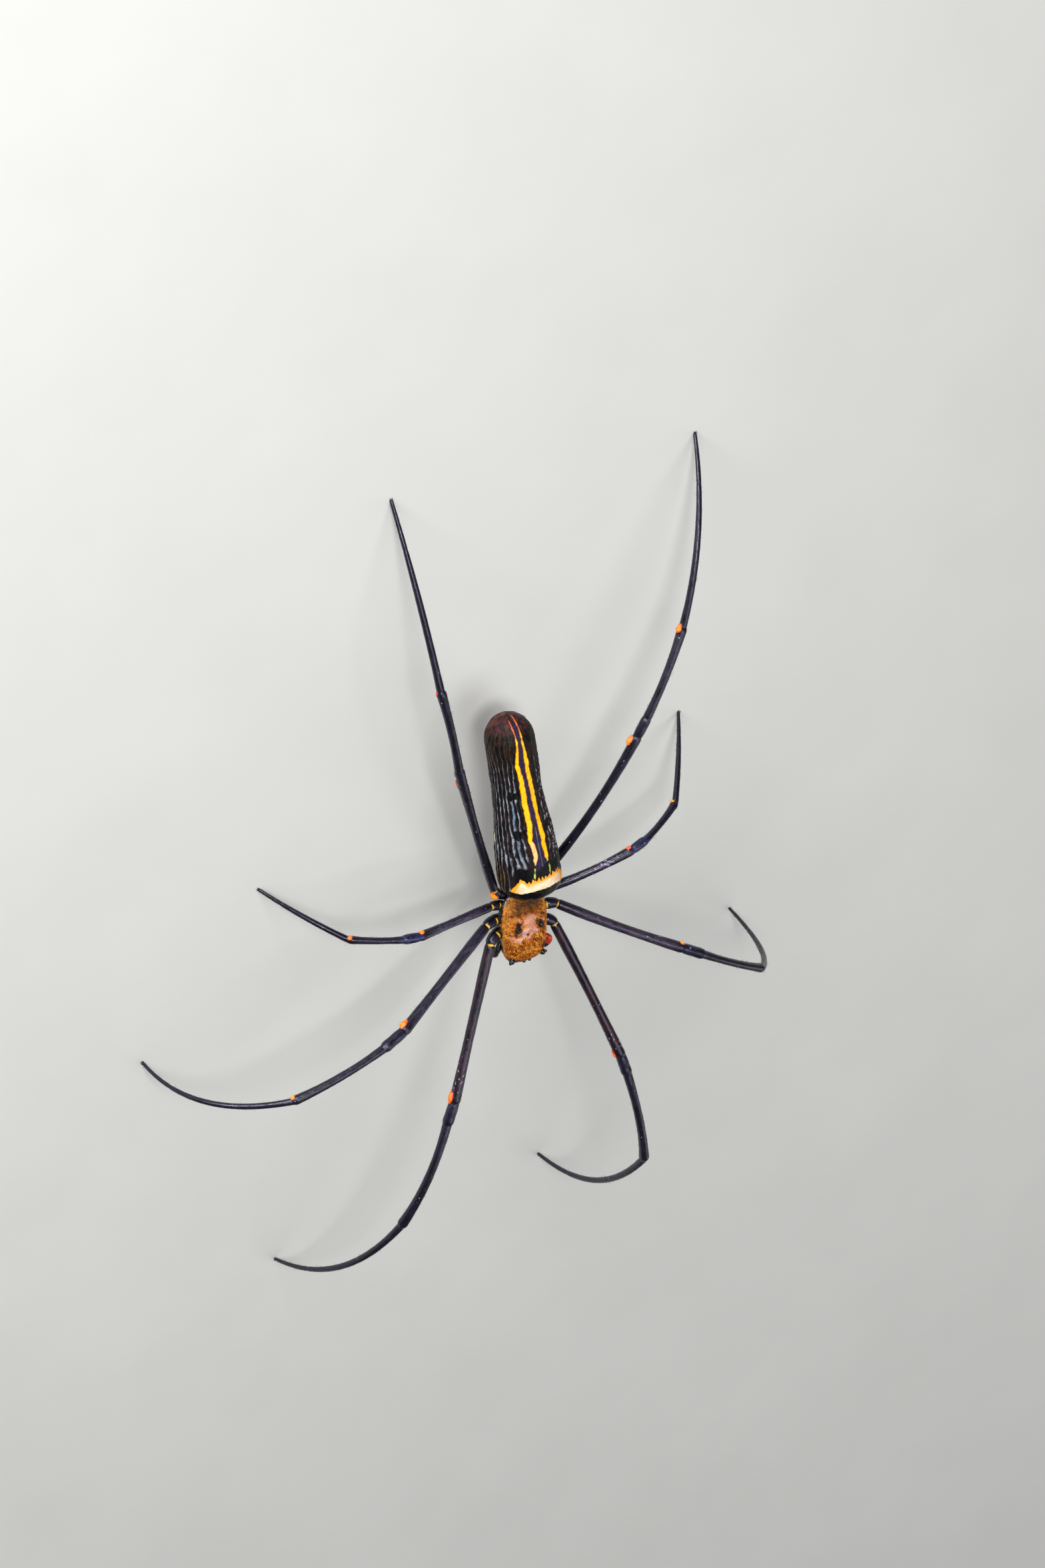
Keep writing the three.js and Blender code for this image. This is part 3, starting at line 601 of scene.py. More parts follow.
def tube_rings(centres, radii, across, sides):
    """Rings square to a line of points, their first point towards across."""
    centres = np.asarray(centres, float)
    ways = unit(np.gradient(centres, axis=0))
    level = unit(across - dot(ways, across)[:, None] * ways)
    rise = np.cross(level, ways)
    angle = 2 * np.pi * np.arange(sides) / sides
    radii = np.asarray(radii, float).reshape(len(centres), -1, 1)
    return centres[:, None] + radii * (np.cos(angle)[:, None] * level[:, None]
                                       + np.sin(angle)[:, None] * rise[:, None])


def ball_rings(centre, radius, count=24, sides=32):
    turn = np.pi * (np.arange(count) + 0.5) / count
    line = np.asarray(centre) + np.stack([0 * turn, 0 * turn, radius * np.cos(turn)], -1)
    angle = 2 * np.pi * np.arange(sides) / sides
    level = np.stack([np.cos(angle), np.sin(angle), 0 * angle], -1)
    return line[:, None] + radius * np.sin(turn)[:, None, None] * level[None]


def fused(name, bodies, voxel, rounds):
    """One even closed skin round several closed bodies: its points and triangles."""
    points, faces = joined(bodies)
    mesh = bpy.data.meshes.new(name)
    mesh.from_pydata((points * MM).tolist(), [], faces.tolist())
    blank = bpy.data.objects.new(name, mesh)
    bpy.context.scene.collection.objects.link(blank)
    remesh = blank.modifiers.new("one skin", "REMESH")
    remesh.mode, remesh.voxel_size = "VOXEL", voxel * MM
    fair = blank.modifiers.new("fairing", "SMOOTH")
    fair.factor, fair.iterations = 0.5, rounds
    made = blank.evaluated_get(bpy.context.evaluated_depsgraph_get()).to_mesh()
    made.calc_loop_triangles()
    places = np.zeros(len(made.vertices) * 3, np.float32)
    made.vertices.foreach_get("co", places)
    corners = np.zeros(len(made.loop_triangles) * 3, np.int32)
    made.loop_triangles.foreach_get("vertices", corners)
    bpy.data.objects.remove(blank)
    bpy.data.meshes.remove(mesh)
    return places.reshape(-1, 3).astype(float) / MM, corners.reshape(-1, 3)


def horn_rings(side):
    height = np.linspace(0, 1, 14)
    line = np.stack([side * (HORN["x"] + HORN["lean"] * height), HORN["y"] + 0.15 * height,
                     HORN["base"] + (HORN["top"] - HORN["base"]) * height], -1)
    radii = HORN["tip"] + (HORN["radius"] - HORN["tip"]) * (1 - height) ** 0.8
    return tube_rings(line, radii, ACROSS, sides=20)


def carapace_marks(points):
    """Masks of the shell and of the hair on it, from places that stand over the ground."""
    x, y, z = np.moveaxis(from_body(points), -1, 0)
    reach = np.abs(x)
    stations = np.array(CARAPACE_STATIONS[::-1])
    back = np.interp(y, stations[:, 0], stations[:, 2])
    rim_height = CARAPACE_FLOOR + 0.42 * (back - CARAPACE_FLOOR) * (1 - 0.45 * step(-y, 1.0, 4.0))
    rim = 1 - step(z - rim_height, -0.1, 0.25)
    horn = np.exp(-(((reach - HORN["x"] - 0.1) / 0.42) ** 2 + ((y - HORN["y"]) / 0.5) ** 2) ** 2)
    from_knob = np.linalg.norm(np.stack([reach, y, z], -1) - EYE_TUBERCLE["place"], axis=-1)
    knob = 1 - step(from_knob, 0.66, 0.9)
    ragged_x, ragged_y = x + 0.16 * ripple(points, 1.1, 31), y + 0.16 * ripple(points, 1.1, 32)
    black = patches(BLACK_HAIR, ragged_x, ragged_y)
    return {
        "rim": rim,
        "horn": horn,
        "knob": knob,
        "black": np.maximum(black, horn),
        # pale hair, with a painted highlight along the groove on the right side
        "pale": patches(PALE_HAIR_AND_HIGHLIGHT, ragged_x, ragged_y) * (1 - black),
        # brown hair, with painted shadow of the abdomen at the rear and painted shade in the crease between
        # head and thorax
        "brown": np.maximum(patches(BROWN_HAIR_AND_SHADOW, ragged_x, ragged_y), 0.55 * crease(x, y, 0.22)),
        "white": patches(PALE_HAIR_AND_HIGHLIGHT[:2], ragged_x, ragged_y),
        # a band along the rim: golden hair, lighter partly as a painted highlight of the lit rim
        "gold_fringe_and_highlight": np.exp(-((z - rim_height - 0.35) / 0.22) ** 2),
        "hairless": np.clip(rim + 1.1 * horn + knob + (z < CARAPACE_FLOOR + 0.15), 0, 1),
    }


shell_points, shell_faces = fused(
    "carapace_blank",
    [in_body(carapace_rings())]
    + [in_body(horn_rings(side)) for side in BOTH_SIDES.values()]
    + [in_body(ball_rings(np.array(EYE_TUBERCLE["place"]) * [side, 1, 1], EYE_TUBERCLE["radius"]))
       for side in BOTH_SIDES.values()],
    SHELL_VOXEL, SHELL_FAIRING)
shell_masks = carapace_marks(shell_points)

shell = Finish("carapace shell")
shell_grain = shell.use(grain, {"Vector": shell.here(), "Scale": 4200.0})
under_blur = shell.noise(shell.here(), 1500.0, 4.0)
under_hair = shell.mix(shell.spread(under_blur, 0.38, 0.64), (84, 38, 10), (168, 92, 28))
# The shell under the hair takes the same patches, the painted shadow and shade of the brown mask included.
for hair_mask, tone in (("brown", (52, 27, 10)), ("pale", (204, 126, 84)), ("black", (14, 9, 8))):
    under_hair = shell.mix(hair_mask, under_hair, tone)
shell_bare = shell.spread(shell.math("MAXIMUM", "rim", shell.math("MAXIMUM", "horn", "knob")), 0.3, 0.6)
carapace_finish = shell.surface({
    "Base Color": shell.mix(shell_bare, under_hair, (14, 11, 16)),
    "Roughness": shell.spread(shell_bare, 0.0, 1.0, 0.7, 0.24),
    "Specular IOR Level": 0.6,
    "Normal": shell.bump(shell_grain["Height"], 0.25, 0.00006),
})
make_piece("carapace_shell", shell_points, shell_faces, carapace_finish, "carapace",
           ["carapace"], shell_masks)


# Golden coat. Silky hairs cover the carapace in small flat tufts that all lie towards the head:
# pinkish white between the horns, black around them and brown at the rear, where the brown is
# painted shadow of the abdomen. Each hair is a thin solid blade rooted in the shell, and the hairs
# of a tuft close up towards its tip. Painted shade darkens the crease and the hairs towards their
# roots, and a painted highlight lightens the gold along the rim.
TUFTS = 2450                      # in each half of the coat
HAIRS_IN_TUFT = 8
TUFT_SPREAD = 0.085
TUFT_LENGTH = (0.42, 0.8)
HAIR_WIDTH = (0.013, 0.024)
COAT_BORDER = -2.2                # between the head's half and the thorax's half
COAT_SEEDS = {"head": 11, "thorax": 12}
HAIR_FACES = np.array([(0, 1, 2), (0, 3, 4), (0, 4, 1), (1, 4, 5), (1, 5, 2), (2, 5, 3), (2, 3, 0),
                       (3, 6, 4), (4, 6, 5), (5, 6, 3)])
HAIR_SHARES = [0, 0, 0, 0.5, 0.5, 0.5, 1.0]       # how far along the hair each of its points lies
BAKE_PATCH = 0.003                # a hair's patch on the bake map
BAKE_SHAPE = np.array([(0, 0), (1, 0), (0.5, 0), (0, 0.5), (1, 0.5), (0.5, 0.6), (0.5, 1)])


def scattered(points, faces, wanted, count, seed):
    """Random places on a skin, closer where more are wanted, the way out at each, and the draw."""
    draw = np.random.default_rng(seed)
    a, b, c = (points[faces[:, k]] for k in range(3))
    normals = np.cross(b - a, c - a)
    areas = np.linalg.norm(normals, axis=1) * np.clip(wanted[faces].mean(1), 0, 1)
    picks = draw.choice(len(faces), count, p=areas / areas.sum())
    u, v = draw.random((2, count))
    over = u + v > 1
    u[over], v[over] = 1 - u[over], 1 - v[over]
    places = a[picks] + u[:, None] * (b - a)[picks] + v[:, None] * (c - a)[picks]
    return places, unit(normals[picks]), draw


def hair_points(roots, out, ways, lengths, widths, lift, droop):
    """Seven points for each hair: three at its sunk root, three half way and its tip."""
    along = unit(ways - dot(ways, out)[:, None] * out)
    across = np.cross(out, along)
    lengths, widths = lengths[:, None], widths[:, None]
    start = roots - out * 0.04
    middle = roots + along * lengths * 0.5 + out * lengths * lift[:, None]
    tip = roots + along * lengths + out * lengths * (lift - droop)[:, None]
    rings = []
    for centre, share in ((start, 1.0), (middle, 0.8)):
        rings += [centre + across * widths * share, centre - across * widths * share,
                  centre + out * widths * share * 0.7]
    return np.stack(rings + [tip], 1)


def make_coat(name, hairs, tones, unwrap, material, slot, masks=None):
    """One joined mesh of many hairs, with a small patch of the bake map for each at its root."""
    count, size = hairs.shape[:2]
    faces = (np.arange(count)[:, None, None] * size + HAIR_FACES).reshape(-1, 3)
    masks = {key: np.repeat(values, size) for key, values in {**(masks or {}), "tone": tones}.items()}
    masks["length_share"] = np.tile(HAIR_SHARES, count)
    coat = make_piece(name, hairs.reshape(-1, 3), faces, material, slot, (), masks)
    places = (0.002 + 0.993 * np.asarray(unwrap)[:, None] + BAKE_SHAPE * BAKE_PATCH).reshape(-1, 2)
    layer = coat.data.uv_layers.new(name="OFBake")
    corners = np.zeros(len(coat.data.loops), np.int32)
    coat.data.loops.foreach_get("vertex_index", corners)
    layer.data.foreach_set("uv", places[corners].astype(np.float32).ravel())


def shell_unwrap(points):
    """The shield laid out flat: turn about its length across, place along it up."""
    x, y, z = np.moveaxis(from_body(points), -1, 0)
    return np.stack([0.5 + np.arctan2(x, z + 2.2) / 3.2, (y + 8.6) / 14.4], -1)


def shell_tufts(seed, keep):
    """The hairs of one half of the coat: points, tones, places on the unwrap and colour masks."""
    def each_hair(values):
        return np.repeat(values, HAIRS_IN_TUFT, axis=0)

    wanted = (1 - shell_masks["hairless"]) * keep
    roots, out, draw = scattered(shell_points, shell_faces, wanted, TUFTS, seed)
    place = from_body(roots)
    aside = step(np.abs(place[:, 0]), 0.2, 3.8) * np.sign(place[:, 0])
    behind = step(place[:, 1], -1.0, 3.5)
    bend = 0.35 * ripple(place, 2.6, 41) + draw.normal(0, 0.2, TUFTS)
    heading = -0.5 * np.pi + aside * (0.15 + 0.5 * behind) + bend
    flow = np.stack([np.cos(heading), np.sin(heading), -0.2 * np.abs(aside)], -1)
    flow = unit(flow - dot(flow, out)[:, None] * out)
    length = draw.uniform(*TUFT_LENGTH, TUFTS) * (0.72 + 0.28 * step(-place[:, 1], -1, 4))
    length *= 1 - 0.45 * step(-place[:, 1], 6.2, 7.6)
    from_knob = np.linalg.norm(np.abs(place) - np.abs(EYE_TUBERCLE["place"]), axis=1)
    length *= 1 - 0.5 * (1 - step(from_knob, 0.8, 1.6))
    crown = 0.55 + 0.22 * ripple(place, 2.2, 42) + 0.26 * ripple(place, 0.7, 43) + draw.normal(0, 0.2, TUFTS)
    total = TUFTS * HAIRS_IN_TUFT
    across = each_hair(np.cross(out, flow))
    offset = draw.normal(0, TUFT_SPREAD, (total, 2))
    hair_roots = each_hair(roots) + offset[:, :1] * each_hair(flow) + offset[:, 1:] * across
    tips = each_hair(roots + flow * length[:, None]) + 0.35 * offset[:, 1:] * across
    ways = tips - hair_roots
    lengths = np.linalg.norm(ways, axis=1) * draw.uniform(0.8, 1.05, total)
    hairs = hair_points(hair_roots, each_hair(out), ways, lengths, draw.uniform(*HAIR_WIDTH, total),
                        draw.uniform(0.05, 0.11, total), draw.uniform(0.03, 0.09, total))
    marks = {key: each_hair(values) for key, values in carapace_marks(roots).items()
             if key in ("black", "pale", "white", "brown", "gold_fringe_and_highlight")}
    tones = np.clip(each_hair(crown) + draw.normal(0, 0.1, total), 0, 1)
    return hairs, tones, shell_unwrap(hair_roots), marks


coat = Finish("golden hair")
coat_gold = coat.mix(coat.spread("tone", 0.2, 0.58), (88, 34, 4), (226, 118, 16))
coat_gold = coat.mix(coat.spread("tone", 0.58, 0.95), coat_gold, (255, 188, 78))
# Gold along the rim: golden hair, partly a painted highlight of the lit rim.
coat_gold = coat.mix(coat.mask("gold_fringe_and_highlight") * 0.6, coat_gold, (244, 170, 60))
coat_gold = coat.mix("brown", coat_gold, coat.mix("tone", (52, 28, 8), (170, 104, 30)))
coat_pale = coat.mix("white", coat.mix("tone", (226, 130, 82), (255, 208, 180)), (246, 216, 214))
coat_gold = coat.mix(coat.spread("pale", 0.25, 0.75), coat_gold, coat_pale)
coat_black = coat.mix("tone", (8, 5, 4), (58, 44, 20))
coat_gold = coat.mix(coat.spread("black", 0.3, 0.6), coat_gold, coat_black)
coat_finish = coat.surface({
    # hairs darker towards the root: painted shade among the hairs
    "Base Color": coat.mix(coat.spread("length_share", 0.0, 0.6, 0.4, 0.0), coat_gold, (60, 28, 8)),
    "Roughness": coat.spread("tone", 0.0, 1.0, 0.48, 0.36),
    "Specular IOR Level": 0.28,
})
on_head = from_body(shell_points)[:, 1] < COAT_BORDER
for coat_name, coat_keep in (("head", on_head), ("thorax", ~on_head)):
    hairs, tones, unwrap, marks = shell_tufts(COAT_SEEDS[coat_name], coat_keep.astype(float))
    make_coat(f"{coat_name}_coat", hairs, tones, unwrap, coat_finish, "carapace", marks)


# Eyes. Eight small polished lenses: four in a square on the face and a pair on each front knob.
# Each is a dome of clear hard skin over the dark eye, and is grown into the shield.
EYE_MESH = {"count": 20, "sides": 28}
EYES = {                          # x, y, z, radius
    "eye_front_middle": (0.42, -7.92, 0.75, 0.32),
    "eye_rear_middle": (0.52, -7.6, 1.6, 0.3),
    "eye_front_side": (3.2, -7.3, 1.65, 0.26),
    "eye_rear_side": (3.4, -6.75, 2.0, 0.26),
}
lens = Finish("eye lens")
lens_uneven = lens.noise(lens.here(), 2500.0, 2.0)
lens_finish = lens.surface({
    "Base Color": lens.mix(lens.spread(lens_uneven, 0.35, 0.65), (8, 6, 6), (30, 18, 12)),
    "Roughness": lens.spread(lens_uneven, 0.3, 0.7, 0.04, 0.09),
    "Coat Weight": 0.6,
})
for eye_name, (x, y, z, radius) in EYES.items():
    for letter, side in BOTH_SIDES.items():
        ring_piece(f"{eye_name}_{letter}_lens", in_body(ball_rings((side * x, y, z), radius, **EYE_MESH)),
                   lens_finish, "eye", [f"{eye_name}_{letter}"])


# Underside. Soft skin joins carapace and breast plate; the breast plate is a firm shield between
# the leg roots, with the lip and the two mouth lobes ahead of it and the narrow waist behind.
STERNUM = {"front": -3.4, "rear": 4.5, "half": 2.35, "widest": 0.35, "middle": -1.6, "depth": 0.93}
FLANK_SKIN = {"front": -6.0, "rear": 4.6, "half": 3.4, "middle": -0.85, "depth": 0.85}
MOUTH_LOBE = {"front": -5.45, "rear": -3.75, "half": 0.72, "middle": -1.75, "depth": 1.0, "widest": 0.42}
MOUTH_LOBE_ASIDE = 0.98
LIP = {"front": -5.0, "rear": -3.4, "half": 0.55, "middle": -1.95, "depth": 0.85}
MOUTH_MESH = {"count": 40, "sides": 40}
PEDICEL = {"start": (0, 3.6, -1.2), "radius": 0.85, "into_abdomen": 3, "aside": -0.6, "below_axis": 3.4}
PEDICEL_RINGS = 40


def plate_rings(front, rear, half, middle, depth, widest=0.5, count=60, sides=72):
    """A flat lens-shaped body, widest at a share of its length, in the front body's own frame."""
    share = crowded(count)
    swell = np.sqrt(np.maximum(0, np.sin(np.pi * share ** (math.log(0.5) / math.log(widest)))))
    angle = 2 * np.pi * np.arange(sides) / sides
    y = front + (rear - front) * share
    return np.stack([half * swell[:, None] * np.cos(angle), y[:, None] + 0 * angle,
                     middle + depth * np.sqrt(swell)[:, None] * np.sin(angle)], -1)


def plain_finish(name, scale, limits, tones, dullness, bumps, **fixed):
    """A finish of two tones that are mixed unevenly, with pits and creases at one scale."""
    finish = Finish(name)
    uneven = finish.use(grain, {"Vector": finish.here(), "Scale": scale})
    return finish.surface({
        "Base Color": finish.mix(finish.spread(uneven["Unevenness"], *limits), *tones),
        "Roughness": finish.spread(uneven["Unevenness"], 0.35, 0.65, *dullness),
        "Normal": finish.bump(uneven["Height"], *bumps),
        **fixed,
    })


under_finish = plain_finish(
    "underside skin", 3600.0, limits=(0.4, 0.65), tones=((26, 16, 14), (58, 32, 22)),
    dullness=(0.3, 0.5), bumps=(0.3, 0.00008))
soft_finish = plain_finish(
    "joint skin", 2600.0, limits=(0.42, 0.6), tones=((24, 14, 12), (132, 66, 20)),
    dullness=(0.35, 0.55), bumps=(0.4, 0.0001))
sternum_rings = plate_rings(**STERNUM)
rim_bumps = np.exp(-((np.abs(sternum_rings[..., 0]) - 2.0) / 0.5) ** 2) * np.cos(sternum_rings[..., 1] * 3.2)
sternum_rings[..., 2] -= 0.12 * rim_bumps * (sternum_rings[..., 2] < STERNUM["middle"])
ring_piece("sternum_plate", in_body(sternum_rings), under_finish, "underside", ["sternum"])
mouth_bodies = [plate_rings(**MOUTH_LOBE, **MOUTH_MESH) + ACROSS * side * MOUTH_LOBE_ASIDE
                for side in BOTH_SIDES.values()] + [plate_rings(**LIP, **MOUTH_MESH)]
mouth_points, mouth_faces = fused("mouth_blank", [in_body(body) for body in mouth_bodies],
                                  voxel=0.09, rounds=3)
make_piece("mouth_lobes", mouth_points, mouth_faces, under_finish, "underside", ["mouthparts"])
ring_piece("flank_skin", in_body(plate_rings(**FLANK_SKIN)), soft_finish, "underside")
pedicel_start = in_body(PEDICEL["start"])
pedicel_end = (ABDOMEN["front"] + abdomen_way * PEDICEL["into_abdomen"]
               + [PEDICEL["aside"], 0, -PEDICEL["below_axis"]])
pedicel_share = np.linspace(0, 1, PEDICEL_RINGS)
pedicel_line = pedicel_start + (pedicel_end - pedicel_start) * pedicel_share[:, None]
pedicel_radii = PEDICEL["radius"] * (1 - 0.06 * np.cos(10 * np.pi * pedicel_share))
ring_piece("pedicel_tube", tube_rings(pedicel_line, pedicel_radii, ACROSS, sides=32), soft_finish,
           "underside", ["pedicel"])


# Jaws. Two stout bases of hard glossy shell hang side by side under the face, set with short
# black bristles. Each has a curved fang of polished horn hinged to it and folded under its end.
CHELICERA = {"x": 1.38, "y": -6.4, "top": 0.2, "bottom": -4.4, "lean": -0.55}
CHELICERA_RADII = [1.08, 1.2, 1.2, 1.08, 0.95, 0.52]
CHELICERA_RINGS = 48
FANG = {"length": 2.1, "curl": 0.55, "turn_in": 0.2, "point_x": 0.5, "sunk": 0.15, "gap": 0.3}
FANG_RADII = [0.3, 0.3, 0.25, 0.2, 0.14, 0.05]
FANG_RINGS = 40
JAW_BRISTLES = 260
JAW_SEED = 61
BRISTLE_WIDTH = 0.014


def bent_line(start, turn, end, count):
    """A curve that leaves its start towards a turning point and reaches its end from it."""
    t = np.linspace(0, 1, count)[:, None]
    return (1 - t) ** 2 * start + 2 * t * (1 - t) * turn + t ** 2 * end


bristle = Finish("black bristle")
bristle_finish = bristle.surface({
    "Base Color": bristle.mix("tone", (12, 9, 12), (44, 32, 38)),
    "Roughness": bristle.spread("tone", 0.0, 1.0, 0.35, 0.5),
})


def bristled(name, rings, line, count, seed, crowding, lengths, slot):
    """Short bristles on a tube of rings, that lie towards its end and crowd there."""
    draw = np.random.default_rng(seed)
    rows, sides = rings.shape[:2]
    column = draw.integers(0, sides, count)
    row = (rows - 2 - 0.9 * rows * draw.random(count) ** crowding).astype(int)
    roots = rings[row, column]
    ways = unit(line[row + 1] - line[row - 1]) + draw.normal(0, 0.2, (count, 3))
    hairs = hair_points(roots, unit(roots - line[row]), ways, draw.uniform(*lengths, count),
                        np.full(count, BRISTLE_WIDTH), draw.uniform(0.2, 0.45, count), np.full(count, 0.08))
    unwrap = np.stack([row / rows, column / sides], -1)
    make_coat(name, hairs, draw.random(count), unwrap, bristle_finish, slot)


jaw_finish = plain_finish(
    "jaw shell", 3400.0, limits=(0.4, 0.65), tones=((10, 8, 10), (26, 16, 16)),
    dullness=(0.16, 0.28), bumps=(0.15, 0.00005), **{"Specular IOR Level": 0.6})
horn = Finish("fang horn")
horn_uneven = horn.noise(horn.here(), 1500.0, 2.0)
fang_finish = horn.surface({
    "Base Color": horn.mix(horn.spread(horn_uneven, 0.35, 0.65), (18, 6, 4), (70, 20, 8)),
    "Roughness": horn.spread(horn_uneven, 0.3, 0.7, 0.1, 0.18),
})
for letter, side in BOTH_SIDES.items():
    x, front = side * CHELICERA["x"], CHELICERA["y"] + CHELICERA["lean"]
    top = in_body([x, CHELICERA["y"], CHELICERA["top"]])
    bottom = in_body([x, front, CHELICERA["bottom"]])
    line = top + (bottom - top) * np.linspace(0, 1, CHELICERA_RINGS)[:, None]
    rings = tube_rings(line, through(CHELICERA_RADII, CHELICERA_RINGS), ACROSS, sides=40)
    ring_piece(f"chelicera_{letter}_base", rings, jaw_finish, "jaw", [f"chelicera_{letter}"])
    bristled(f"chelicera_{letter}_bristles", rings, line, JAW_BRISTLES, JAW_SEED + side, 0.9, (0.25, 0.5),
             "jaw")
    under_jaw = CHELICERA["bottom"] - FANG["gap"]
    base = in_body([x, front, CHELICERA["bottom"] + FANG["sunk"]])
    fold = in_body([x - side * FANG["turn_in"], front + FANG["curl"], under_jaw - FANG["curl"]])
    point = in_body([side * FANG["point_x"], front + FANG["length"], under_jaw])
    fang_line = bent_line(base, fold, point, FANG_RINGS)
    rings = tube_rings(fang_line, through(FANG_RADII, FANG_RINGS), ACROSS, sides=20)
    ring_piece(f"fang_{letter}_horn", rings, fang_finish, "fang", [f"fang_{letter}"])


# Palps. A short six-part feeler on each side of the jaws, dark red skin that is firm between its
# joints, with a black hairy end part. The left one is bent and shows the red skin of its knee; the
# right one's red is left out and its knee painted dark, as painted shade.
PALP_ROUTES = {
    "L": [(2.25, -4.3, -1.9), (3.9, -4.9, -0.9), (5.2, -5.7, 0.2), (5.1, -7.3, -0.8), (4.1, -8.6, -3.0)],
    "R": [(2.25, -4.3, -1.9), (3.2, -4.9, -1.5), (3.8, -5.8, -1.3), (3.8, -7.2, -2.2), (3.1, -7.9, -4.2)],
}
PALP_RADII = [0.42, 0.49, 0.52, 0.52, 0.47, 0.52, 0.53, 0.52, 0.57, 0.6, 0.55, 0.31]
PALP_JOINTS = (0.16, 0.44, 0.55, 0.68)
PALP_RED_SHOWN = {"L": 1.0, "R": 0.0}              # red skin shown at the knee; the right palp's red is left out, painted dark as painted shade
PALP_BRISTLES = 700
PALP_SEED = 51
PALP_RINGS = 120
PALP_SIDES = 28


def ringed(values, sides):
    """A value for each ring, given to all the points of that ring."""
    return np.repeat(values[:, None], sides, 1)


palp = Finish("palp skin")
palp_grain = palp.use(grain, {"Vector": palp.here(), "Scale": 3600.0})
palp_dark = palp.mix(palp.spread(palp_grain["Unevenness"], 0.38, 0.62), (10, 7, 9), (30, 15, 14))
palp_red = palp.mix(palp.spread(palp_grain["Unevenness"], 0.4, 0.6), (206, 26, 4), (248, 92, 8))
palp_finish = palp.surface({
    "Base Color": palp.mix("joint", palp.mix("red", palp_dark, palp_red), (58, 24, 14)),
    "Roughness": palp.spread(palp_grain["Unevenness"], 0.35, 0.65, 0.26, 0.42),
    "Normal": palp.bump(palp_grain["Height"], 0.25, 0.00006),
})
for letter, side in BOTH_SIDES.items():
    share = np.linspace(0, 1, PALP_RINGS)
    line = in_body(through(PALP_ROUTES[letter], PALP_RINGS) * [side, 1, 1])
    necks = sum(np.exp(-((share - joint) / 0.014) ** 2) for joint in PALP_JOINTS)
    radii = through(PALP_RADII, PALP_RINGS) * (1 - 0.16 * necks)
    radii[-6:] *= np.sqrt(1 - np.linspace(0, 0.96, 6) ** 2)
    rings = tube_rings(line, radii, UP, PALP_SIDES)
    # The right palp's red knee is painted dark: painted shade.
    red = step(share, 0.36, 0.42) * (1 - step(share, 0.6, 0.68)) * PALP_RED_SHOWN[letter]
    ring_piece(f"palp_{letter}_skin", rings, palp_finish, "palp", [f"palp_{letter}"],
               {"joint": ringed(necks * 0.5, PALP_SIDES), "red": ringed(red, PALP_SIDES)})
    bristled(f"palp_{letter}_bristles", rings, line, PALP_BRISTLES, PALP_SEED + side, 3, (0.2, 0.42), "palp")


# Legs. Four pairs of long thin legs, each one glossy black tube of hard shell in seven parts that
# hinge on soft skin. That skin shows as yellow crescents round the hip joints and as an orange
# cushion at the knee and at the ankle.
HIPS = {                          # the leg's root and the end of its hip part, on the front body
    "1": ((1.6, -2.2, -1.75), (6.2, -3.3, 0.2)),
    "2": ((1.7, -0.4, -1.75), (6.9, 0.2, 0)),
    "3": ((1.6, 1.5, -1.75), (5.6, 3.2, -0.7)),
    "4": ((0.9, 3.4, -1.75), (4.8, 6.2, -0.9)),
}
LENGTHS = {                       # femur, patella, tibia, foot, bow of the tibia
    "1": (27, 4, 20, 34.5, 0.06),
    "2": (23, 4.5, 17, 27, 0.035),
    "3": (15, 3, 9, 16.5, 0.03),
    "4": (29, 3.5, 16, 31, 0.03),
}
# Degrees: headings from straight ahead to the leg's own side, rises above level. The bow and the
# arch are shares of a length. The foot drops by as much as brings its tip to the ground.
POSES = {                         # femur heading, rise, bow, tibia heading, lift, foot heading, arch
    "R1": (22, 17, 0, 24, 3, 22, 0.12),
    "R2": (67, 21, 0, 73, -1, 79, 0.17),
    "R3": (93, 9, 0, 95, -21, 120, 0.05),
    "R4": (159, 7, -0.01, 166, -4, 175, 0.02),
    "L1": (20, 24, 0.02, 13, 5, -5, 0.125),
    "L2": (66, 28, 0.03, 57, -5, 54, 0.11),
    "L3": (112, 13, 0.03, 108, -23, 138, 0.02),
    "L4": (153, 7, 0.035, 155, -8, 164, 0.075),
}
TROCHANTER = 1.6
COXA_SHARE = 0.66                 # of the hip part
METATARSUS_SHARE = 0.74           # of the foot
SEGMENT_RADII = {
    "hip": [0.7, 0.95, 1.05, 0.95, 0.85],
    "femur": [0.85, 0.9, 0.84, 0.8, 0.8, 0.88, 0.96],
    "patella": [0.92, 0.9, 0.98],
    "tibia": [0.72, 0.63, 0.64, 0.68, 0.8],
    "foot": [0.58, 0.52, 0.5, 0.48, 0.46, 0.43, 0.39, 0.35, 0.31, 0.25],
}
PAIR_GIRTH = {
    "1": {"upper": 1, "tibia": 1.12, "foot": 1.15},
    "2": {"upper": 0.98, "tibia": 1, "foot": 0.97},
    "3": {"upper": 0.86, "tibia": 0.86, "foot": 0.95},
    "4": {"upper": 0.88, "tibia": 1.04, "foot": 1.13},
}
